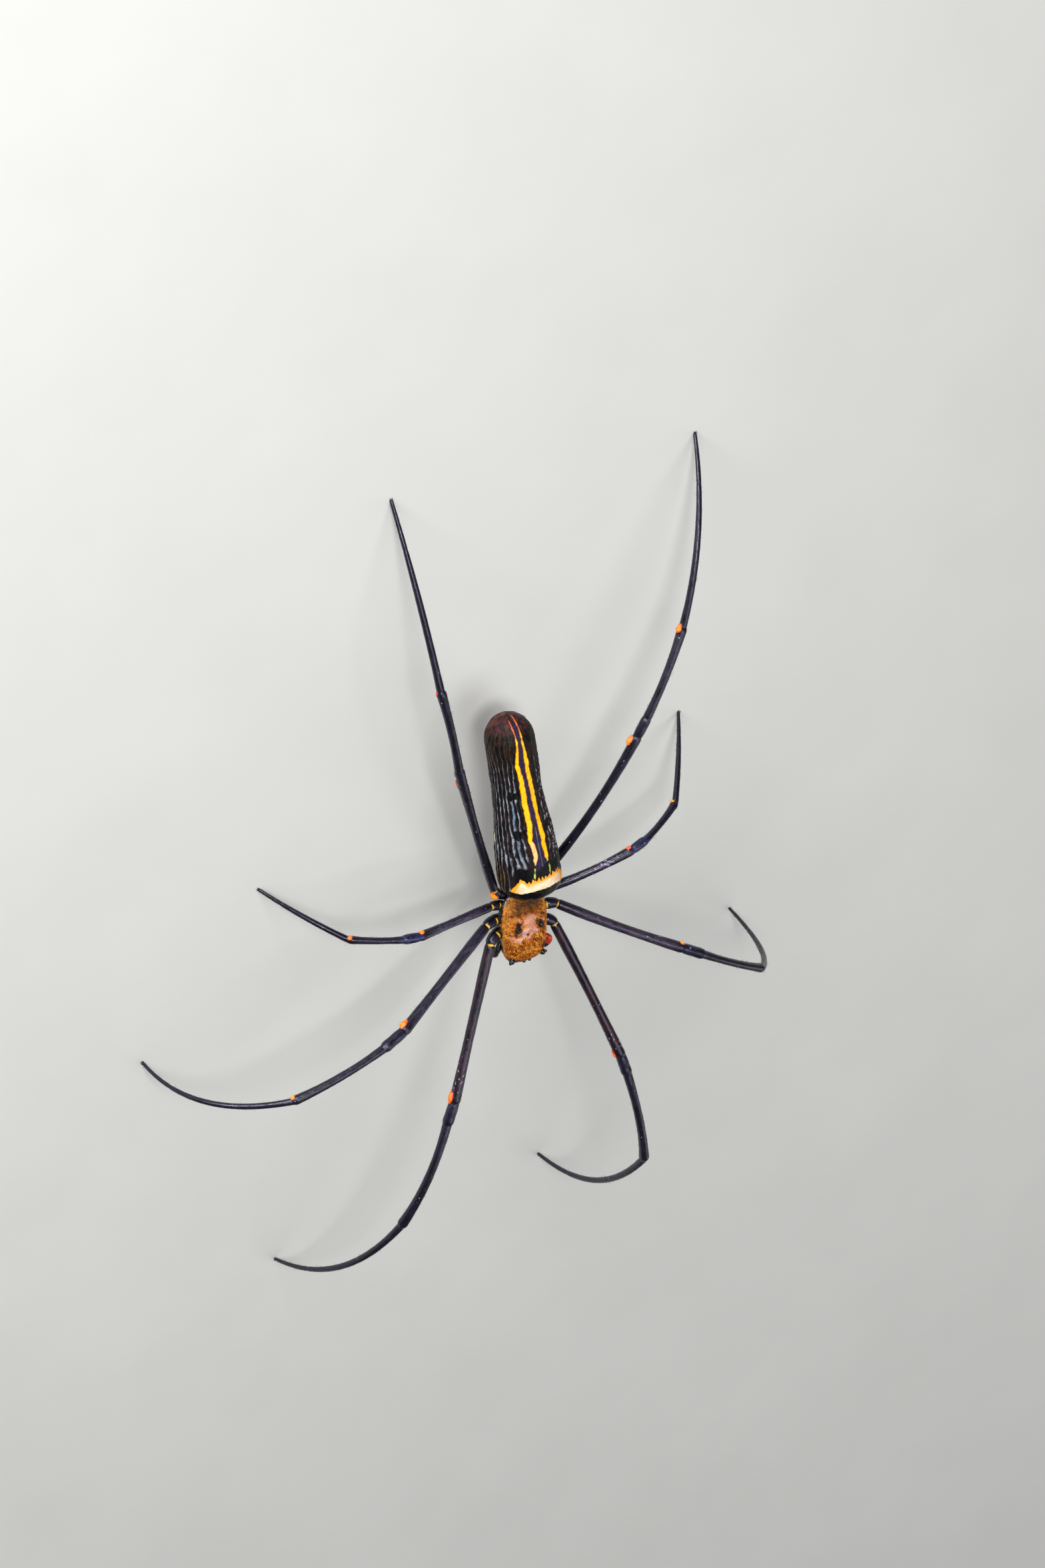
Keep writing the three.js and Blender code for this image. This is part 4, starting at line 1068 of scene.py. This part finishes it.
CUSHIONS = {                      # joint, place after it, half length, height, redness
    "R1": [("knee", -0.7, 1.25, 0.32, 0.5)],
    "R2": [("knee", -0.6, 1.1, 0.36, 0.35), ("ankle", -0.1, 0.5, 0.3, 0.3)],
    "R3": [("knee", -0.3, 0.5, 0.24, 0.3), ("ankle", -0.1, 0.5, 0.26, 0.4)],
    "R4": [("knee", 0.1, 1.15, 0.46, 0.5), ("ankle", -0.2, 0.4, 0.12, 1.0),
           ("hip", -1.0, 0.95, 0.5, 0.2)],
    "L1": [("knee", -0.6, 1.0, 0.24, 0.6)],
    "L2": [("knee", -0.4, 0.6, 0.12, 0.0)],
    "L3": [("knee", -0.3, 0.5, 0.2, 0.5), ("ankle", -0.1, 0.5, 0.4, 0.0)],
    "L4": [("knee", -1.0, 1.0, 0.5, 0.2), ("ankle", -0.2, 0.85, 0.45, 0.4)],
}
CUSHION_HALF_TURN = 0.75
CUSHION_SIDE = unit([-0.57, 0.71, -0.41])
HIP_KNOB_SIDE = unit([-0.65, -0.6, 0.45])
UPPER_SIDE = unit([-0.64, 0.8, -0.12])
UPPER_CUSHIONS = {("R3", "knee"), ("R3", "ankle"), ("L4", "ankle")}
CRESCENT_SIDE = unit([-0.3, 0.35, 0.88])
HIP_CRESCENTS = {"R1": 2, "R2": 2, "R3": 2, "R4": 1, "L1": 1, "L2": 2, "L3": 2, "L4": 1}
PAINTED_GLINT_FLECKS = {"R1": 0.7, "L1": 0.6, "L2": 0.5, "L3": 1.2}                 # painted pale lilac glints of bristle sockets towards the knee
PAINTED_BLUE_SHEEN = {"1": 0.1, "2": 0.2, "3": 0.9, "4": 0.1}                     # painted blue sheen of the short knee part
REDDISH = {"R1": 0.9, "L1": 0.9, "L2": 0.7}                           # brown-red tone of the upper leg
PAINTED_VIOLET_SHEEN = {"R2": 0.4, "R3": 0.9, "L2": 0.5}                             # painted violet-grey sheen on the top side of the upper leg
LEG_STEP = 0.16
LEG_SIDES = 30


def bearing(heading, rise, side):
    heading, rise = math.radians(heading), math.radians(rise)
    level = math.cos(rise)
    return np.array([side * math.sin(heading) * level, -math.cos(heading) * level, math.sin(rise)])


def arched(start, end, arch, count):
    """A curve between two points that bows upwards by a share of its length."""
    chord = end - start
    facing = unit(chord)
    upwards = unit(UP - facing * facing[2])
    turn = (start + end) / 2 + upwards * 2 * arch * np.linalg.norm(chord)
    return bent_line(start, turn, end, count)


def leg_line(name):
    """Middle line of a leg with its radii, the length run at each point, and where its joints are."""
    side, pair = BOTH_SIDES[name[0]], name[1]
    femur, patella, tibia, foot, tibia_bow = LENGTHS[pair]
    heading, rise, bow, tibia_heading, lift, foot_heading, arch = POSES[name]
    root, hip = (in_body(np.array(place) * [side, 1, 1]) for place in HIPS[pair])
    femur_way, tibia_way = bearing(heading, rise, side), bearing(tibia_heading, lift, side)
    knee = hip + femur_way * femur
    patella_end = knee + unit(femur_way + tibia_way) * patella
    ankle = patella_end + tibia_way * tibia
    drop = -math.degrees(math.asin(ankle[2] / foot))
    tip = ankle + bearing(foot_heading, drop, side) * foot
    count = {part: max(6, int(length / LEG_STEP)) for part, length in
             zip(SEGMENT_RADII, (6, femur, patella, tibia, foot))}
    runs = {
        "hip": bent_line(root, hip - femur_way * TROCHANTER, hip, count["hip"]),
        "femur": arched(hip, knee, bow, count["femur"]),
        "patella": arched(knee, patella_end, 0, count["patella"]),
        "tibia": arched(patella_end, ankle, tibia_bow, count["tibia"]),
        "foot": arched(ankle, tip, arch, count["foot"]),
    }
    line = np.concatenate([run[:-1] for run in runs.values()] + [tip[None]])
    girth = PAIR_GIRTH[pair]
    radii = np.concatenate([through(SEGMENT_RADII[part], count[part])[:-1] * girth.get(part, girth["upper"])
                            for part in runs] + [SEGMENT_RADII["foot"][-1:]])
    run = np.concatenate([[0], np.cumsum(np.linalg.norm(np.diff(line, axis=0), axis=1))])
    ends = np.cumsum([count[part] - 1 for part in runs])
    joints = dict(zip(("hip", "knee", "patella", "ankle", "tip"), run[ends]))
    for _ in range(3):
        line[1:-1] = (line[:-2] + 2 * line[1:-1] + line[2:]) / 4
    for _ in range(10):
        radii[1:-1] = (radii[:-2] + 2 * radii[1:-1] + radii[2:]) / 4
    return line, radii, run, joints


def leg_shape(run, joints):
    """Share of the leg's girth at each point: narrow at its joints, fuller beside them."""
    tarsus = joints["ankle"] + (joints["tip"] - joints["ankle"]) * METATARSUS_SHARE
    changes = (                   # place, change of girth, width
        (joints["hip"] * COXA_SHARE, -0.1, 0.22), (joints["hip"], -0.14, 0.25),
        (joints["knee"] + 0.15, -0.1, 0.3), (joints["knee"] + 1.5, 0.04, 0.7),
        (joints["patella"] + 0.1, -0.07, 0.3), (joints["patella"] - 0.9, 0.02, 0.5),
        (joints["ankle"] + 0.1, -0.1, 0.28), (joints["ankle"] - 0.6, 0.03, 0.5), (tarsus, -0.1, 0.3))
    return 1 + sum(change * np.exp(-((run - place) / width) ** 2) for place, change, width in changes)


def leg_form(name):
    """Rings of a leg's tube with its masks, and what its bristles and claws are set by."""
    line, radii, run, joints = leg_line(name)
    hip, knee, patella = (joints[joint] for joint in ("hip", "knee", "patella"))
    ways = unit(np.gradient(line, axis=0))
    level = unit(np.cross(ways, UP))
    rise = np.cross(level, ways)
    angle = (2 * np.pi * np.arange(LEG_SIDES) / LEG_SIDES)[None]

    def turned_from(side):
        """Turn round the leg from the side that faces the given way."""
        facing = np.arctan2(dot(side, rise), dot(side, level))[:, None]
        return np.angle(np.exp(1j * (angle - facing)))

    girth = radii[:, None]
    orange = yellow = np.full((len(run), LEG_SIDES), FAR_OFF)
    bulge = redness = 0.0
    for joint, after, half_length, height, red in CUSHIONS[name]:
        side = UPPER_SIDE if (name, joint) in UPPER_CUSHIONS else CUSHION_SIDE
        turned = turned_from(HIP_KNOB_SIDE if joint == "hip" else side)
        off = np.hypot((run[:, None] - joints[joint] - after) / half_length, turned / CUSHION_HALF_TURN)
        height = height * PAIR_GIRTH[name[1]]["upper"]
        bulge = np.maximum(bulge, height * np.clip(1.02 - off ** 2, 0, 1) ** 0.7)
        orange = np.minimum(orange, (off - 0.97) * 0.6)
        redness = redness + (red + 0.5 * step(off, 0.55, 0.95)) * (off < 1.4)
    from_top = np.abs(turned_from(CRESCENT_SIDE))
    for place in (hip - 0.02, hip * COXA_SHARE)[:HIP_CRESCENTS[name]]:
        crescent = np.abs(run[:, None] - place) - 0.16 * np.cos(np.clip(from_top, 0, 1) * np.pi / 2)
        yellow = np.minimum(yellow, np.maximum(crescent, (from_top - 0.95) * girth))
    unevenness = 1 + 0.012 * ripple(line, 2.0, 20 + int(name[1]))
    radius = girth * (leg_shape(run, joints) * unevenness)[:, None] + bulge
    rings = line[:, None] + radius[..., None] * (np.cos(angle)[..., None] * level[:, None]
                                                 + np.sin(angle)[..., None] * rise[:, None])
    rings[..., 2] = np.maximum(rings[..., 2], 0.0)
    femur = step(run, hip, hip + 2) * (1 - step(run, knee - 3, knee))
    # Painted glints of bristle sockets on the femur, strongest towards the knee.
    painted_glint_fleck = PAINTED_GLINT_FLECKS.get(name, 0.0) * femur * (0.2 + 0.8 * step(run, knee - 9, knee - 5))
    # The short knee part, which carries a painted blue sheen.
    short_part = step(run, knee - 0.6, knee + 0.4) * (1 - step(run, patella - 0.3, patella + 1.2))
    # Painted violet-grey sheen along the top side of the upper leg.
    painted_violet_sheen = PAINTED_VIOLET_SHEEN.get(name, 0.0) * step(run, hip + 1, hip + 5) * (1 - step(run, knee - 4, knee))
    masks = {
        "orange": orange,
        "yellow": yellow,
        "painted_glints": ringed(painted_glint_fleck, LEG_SIDES),
        "painted_blue_sheen": ringed(short_part * PAINTED_BLUE_SHEEN[name[1]], LEG_SIDES),
        "painted_violet_sheen": painted_violet_sheen[:, None] * (1 - step(from_top, 0.3, 1.2)),
        "reddish": ringed(femur * REDDISH.get(name, 0.0), LEG_SIDES),
        "redness": np.clip(redness, 0, 1),
        "lie": np.stack([ringed(run, LEG_SIDES), girth * np.cos(angle), girth * np.sin(angle)], -1),
    }
    return rings, masks, (line, radius, run, joints, level, rise)


leg = Finish("leg shell")
leg_lie = leg.mask("lie", "Vector")
leg_grain = leg.use(grain, {"Vector": leg.stretched(leg_lie, (0.35, 1.0, 1.0)), "Scale": 3.2})
leg_streaks = leg.noise(leg.stretched(leg_lie, (0.12, 1.0, 1.0)), 7.0)
leg_lengthwise = leg.stretched(leg_lie, (0.5, 1.0, 1.0))
leg_patches = leg.noise(leg_lengthwise, 0.9)
leg_wobble = (leg.noise(leg_lie, 4.0, 2.0) - 0.5) * 0.2
leg_black = leg.mix(leg.spread(leg_patches, 0.35, 0.65), (6, 5, 9), (19, 16, 34))
leg_black = leg.mix(leg.spread(leg_patches, 0.3, 0.7) * "reddish", leg_black, (44, 19, 20))
# Painted violet-grey sheen: lighter streaks on the top of the upper leg.
leg_painted_violet_sheen = leg.mix(leg.spread(leg_streaks, 0.3, 0.7), (32, 26, 42), (84, 76, 96))
leg_black = leg.mix("painted_violet_sheen", leg_black, leg_painted_violet_sheen)
# Painted blue sheen of the short knee part.
leg_painted_blue_sheen = leg.mix(leg.spread(leg_patches, 0.35, 0.65), (15, 14, 38), (40, 44, 92))
leg_colour = leg.mix("painted_blue_sheen", leg_black, leg_painted_blue_sheen)
# Painted glints: small pale specks all over the legs and lilac flecks towards the knee.
glint_speck_size = leg.spread(leg.noise(leg_lie, 0.8), 0.5, 0.68, -0.02, 0.12)
glint_speck_edge = leg.cells(leg_lengthwise, 2.3) - glint_speck_size + leg_wobble
leg_colour = leg.mix(leg.spread(glint_speck_edge, -0.05, 0.03, 0.7, 0.0), leg_colour, (160, 142, 166))
glint_fleck_spots = leg.noise(leg.stretched(leg_lie, (0.75, 1.0, 1.0)), 2.6, 1.0) + leg.mask("painted_glints") * 0.13
leg_colour = leg.mix(leg.spread(glint_fleck_spots, 0.755, 0.8, 0.0, 0.85), leg_colour, (166, 142, 182))
leg_yellow = leg.mix(leg.spread(leg.noise(leg_lie, 5.0, 2.0), 0.35, 0.65), (196, 140, 10), (238, 188, 40))
leg_colour = leg.mix(leg.inside("yellow", 0.05, leg_wobble * 0.6), leg_colour, leg_yellow)
cushion_core = leg.mix(leg.spread(leg.noise(leg_lie, 2.4, 2.0), 0.35, 0.65), (255, 138, 0), (255, 190, 40))
on_cushion = leg.inside("orange", 0.05, leg_wobble)
leg_finish = leg.surface({
    "Base Color": leg.mix(on_cushion, leg_colour, leg.mix("redness", cushion_core, (232, 54, 0))),
    "Roughness": leg.math("MAXIMUM", leg.spread(leg_streaks, 0.3, 0.7, 0.2, 0.38), on_cushion * 0.5),
    "Specular IOR Level": 0.62,
    "Specular Tint": (0.82, 0.8, 1.0, 1.0),
    "Normal": leg.bump(leg_grain["Height"], 0.25, 0.00006, leg.bump(leg_streaks, 0.3, 0.00006)),
})
leg_forms = {}
for leg_name in POSES:
    rings, masks, leg_forms[leg_name] = leg_form(leg_name)
    ring_piece(f"leg_{leg_name}_shell", rings, leg_finish, "leg",
               [f"leg_{leg_name}_{part}" for part in SEGMENT_RADII], masks)


# Leg bristles. Short black hairs lie along every leg towards its tip, denser and finer on the
# foot, with some longer stiff spines between them. All are of shell, rooted in the leg.
BRISTLES = 1900                   # on each leg
SPINES = 48
BRISTLE_LENGTH, SPINE_LENGTH = (0.26, 0.48), (0.6, 0.95)
LEG_BRISTLE_WIDTH, SPINE_WIDTH = 0.015, 0.028
for leg_name, (line, radius, run, joints, level, rise) in leg_forms.items():
    draw = np.random.default_rng(sum(map(ord, leg_name)))
    total = BRISTLES + SPINES
    long_ones = np.arange(total) >= BRISTLES
    start = joints["hip"] + 1.0
    spots = start + (joints["tip"] - 0.4 - start) * draw.random(total) ** 0.75
    index = np.clip(np.searchsorted(run, spots), 1, len(run) - 2)
    turn = draw.uniform(0, 2 * np.pi, total)
    out = np.cos(turn)[:, None] * level[index] + np.sin(turn)[:, None] * rise[index]
    column = (turn / (2 * np.pi) * LEG_SIDES).astype(int) % LEG_SIDES
    roots = line[index] + out * radius[index, column][:, None] * 0.97
    ways = unit(line[index + 1] - line[index - 1]) + draw.normal(0, 0.12, (total, 3))
    on_foot = step(spots, joints["ankle"] - 2, joints["ankle"] + 6)
    lengths = np.where(long_ones, draw.uniform(*SPINE_LENGTH, total), draw.uniform(*BRISTLE_LENGTH, total))
    lengths = lengths * (1 - 0.25 * on_foot)
    widths = np.where(long_ones, SPINE_WIDTH, LEG_BRISTLE_WIDTH)
    lift = np.where(long_ones, 0.5, draw.uniform(0.12, 0.3, total))
    hairs = hair_points(roots, out, ways, lengths, widths, lift, np.where(long_ones, 0.0, 0.08))
    hairs[..., 2] = np.maximum(hairs[..., 2], 0.0)
    unwrap = np.stack([spots / joints["tip"] * 0.99, turn / (2 * np.pi) * 0.99], -1)
    make_coat(f"leg_{leg_name}_bristles", hairs, draw.random(total), unwrap, bristle_finish, "leg")


# Claws. Two toothless curved claws of dark horn grow from the end of each foot and reach the
# ground beside its pad.
CLAW = {"sunk": 0.35, "ahead": 0.35, "point_ahead": 0.34, "aside": 0.12, "point_aside": 0.2}
CLAW_HEIGHT, CLAW_POINT_HEIGHT = 0.12, 0.05       # of its bend above its base, of its point above ground
CLAW_RADII = np.linspace(0.1, 0.02, 14)
for leg_name, (line, *_) in leg_forms.items():
    tip, way = line[-1], unit(line[-1] - line[-6])
    ahead = unit(way * [1, 1, 0])
    across = np.cross(UP, ahead)
    claws = []
    for side in BOTH_SIDES.values():
        base = tip - way * CLAW["sunk"] + across * side * CLAW["aside"]
        turn = base + ahead * CLAW["ahead"] + UP * CLAW_HEIGHT
        point = (tip * [1, 1, 0] + ahead * CLAW["point_ahead"] + across * side * CLAW["point_aside"]
                 + UP * CLAW_POINT_HEIGHT)
        rings = tube_rings(bent_line(base, turn, point, len(CLAW_RADII)), CLAW_RADII, UP, sides=10)
        rings[..., 2] = np.maximum(rings[..., 2], 0.0)
        claws.append(rings)
    make_piece(f"leg_{leg_name}_claws", *joined(claws), fang_finish, "leg")


# Spinnerets. A cluster of five short jointed cones under the rear of the abdomen, four at the
# corners of a square and one between them. They are of dark firm skin, grown from the belly.
SPINNERETS = {"at": 0.8, "length": 2.3, "sunk": 1.2, "spread": 0.85, "lean": math.tan(math.radians(25))}
SPINNERET_PLACES = ((-1, -1), (1, -1), (-1, 1), (1, 1), (0, 0))            # across, along
SPINNERET_RADII = [0.78, 0.76, 0.7, 0.5, 0.24]
SPINNERET_RINGS = 30
spinner_finish = plain_finish(
    "spinneret skin", 3000.0, limits=(0.4, 0.62), tones=((34, 18, 16), (84, 44, 30)),
    dullness=(0.4, 0.55), bumps=(0.35, 0.00008))
spinner_share = np.linspace(0, 1, SPINNERET_RINGS)
spinner_neck = 0.12 * np.exp(-((spinner_share - 0.72) / 0.05) ** 2)
spinner_radii = through(SPINNERET_RADII, SPINNERET_RINGS) * (1 - spinner_neck)
spinner_middle = ABDOMEN["front"] + abdomen_way * SPINNERETS["at"] * ABDOMEN["length"]
spinner_bodies = []
for across, along in SPINNERET_PLACES:
    spread, lean, belly = SPINNERETS["spread"], SPINNERETS["lean"], ABDOMEN["waist"][1]
    root = (spinner_middle + abdomen_up * (SPINNERETS["sunk"] - belly) + abdomen_side * across * spread
            + abdomen_way * along * spread)
    end = (spinner_middle - abdomen_up * (SPINNERETS["length"] + belly)
           + abdomen_side * across * spread * (1 - lean / 2) + abdomen_way * (along * spread + lean))
    line = root + (end - root) * spinner_share[:, None]
    spinner_bodies.append(tube_rings(line, spinner_radii, abdomen_side, sides=24))
spinner_points, spinner_faces = fused("spinneret_blank", spinner_bodies, voxel=0.08, rounds=3)
make_piece("spinneret_cones", spinner_points, spinner_faces, spinner_finish, "spinneret", ["spinnerets"])


# Setting. A plain pale floor of card, soft studio light from above and behind the abdomen, and
# the camera behind and above the animal's right side, at the photo's angle.
FLOOR_REACH = 3                   # metres
ROOM_COLOUR, ROOM_LIGHT = (0.92, 0.94, 1.0, 1.0), 0.14
LIGHTS = {                        # place, width, height and power
    "wall": ((-0.36, 0.46, 0.14), 0.5, 0.09, 3.8),
    "key": ((-0.2, 0.3, 0.5), 0.16, 0.16, 1.8),
    "top": ((0.1, 0.0, 0.6), 0.4, 0.4, 1.2),
    "fill": ((0.4, -0.3, 0.3), 0.3, 0.3, 0.35),
}
CAMERA_AXES = np.array([(0.8437, 0.0788, 0.531), (0.2634, 0.801, -0.5376), (-0.4677, 0.5934, 0.6551)])
BODY_IN_VIEW = np.array([-0.1087, -21.576, -700.0])
FOCAL_LENGTH, PICTURE_HEIGHT = 6440, 2353         # in pixels of the photo
FILM = 36
floor_mesh = bpy.data.meshes.new("floor")
floor_corners = [(x * FLOOR_REACH, y * FLOOR_REACH, 0) for x, y in ((-1, -1), (1, -1), (1, 1), (-1, 1))]
floor_mesh.from_pydata(floor_corners, [], [(0, 1, 2, 3)])
floor = bpy.data.objects.new("floor", floor_mesh)
bpy.context.scene.collection.objects.link(floor)
paper = Finish("pale floor")
paper_uneven = paper.noise(paper.here(), 40.0)
floor_mesh.materials.append(paper.surface({
    "Base Color": paper.mix(paper_uneven, (206, 206, 202), (214, 214, 210)),
    "Roughness": paper.spread(paper_uneven, 0.3, 0.7, 0.7, 0.8),
}))

world = bpy.data.worlds.new("soft room")
world.use_nodes = True
world.node_tree.nodes["Background"].inputs["Color"].default_value = ROOM_COLOUR
world.node_tree.nodes["Background"].inputs["Strength"].default_value = ROOM_LIGHT
bpy.context.scene.world = world
body_place = MIDDLE + UP * BODY_HEIGHT
for light_name, (place, width, height, power) in LIGHTS.items():
    lamp = bpy.data.lights.new(light_name, "AREA")
    lamp.shape, lamp.size, lamp.size_y, lamp.energy = "RECTANGLE", width, height, power
    holder = bpy.data.objects.new(light_name, lamp)
    holder.location = place
    holder.rotation_mode = "QUATERNION"
    holder.rotation_quaternion = (Vector(body_place * MM) - Vector(place)).to_track_quat("-Z", "Y")
    bpy.context.scene.collection.objects.link(holder)
camera_data = bpy.data.cameras.new("camera")
camera_data.lens = FILM * FOCAL_LENGTH / PICTURE_HEIGHT
camera_data.clip_start, camera_data.clip_end = 0.01, 10
camera = bpy.data.objects.new("camera", camera_data)
bpy.context.scene.collection.objects.link(camera)
camera_place = (body_place - CAMERA_AXES.T @ BODY_IN_VIEW) * MM
camera.matrix_world = Matrix([[*CAMERA_AXES[:, k], camera_place[k]] for k in range(3)] + [[0, 0, 0, 1]])
bpy.context.scene.camera = camera
bpy.context.scene.view_settings.view_transform = "Standard"
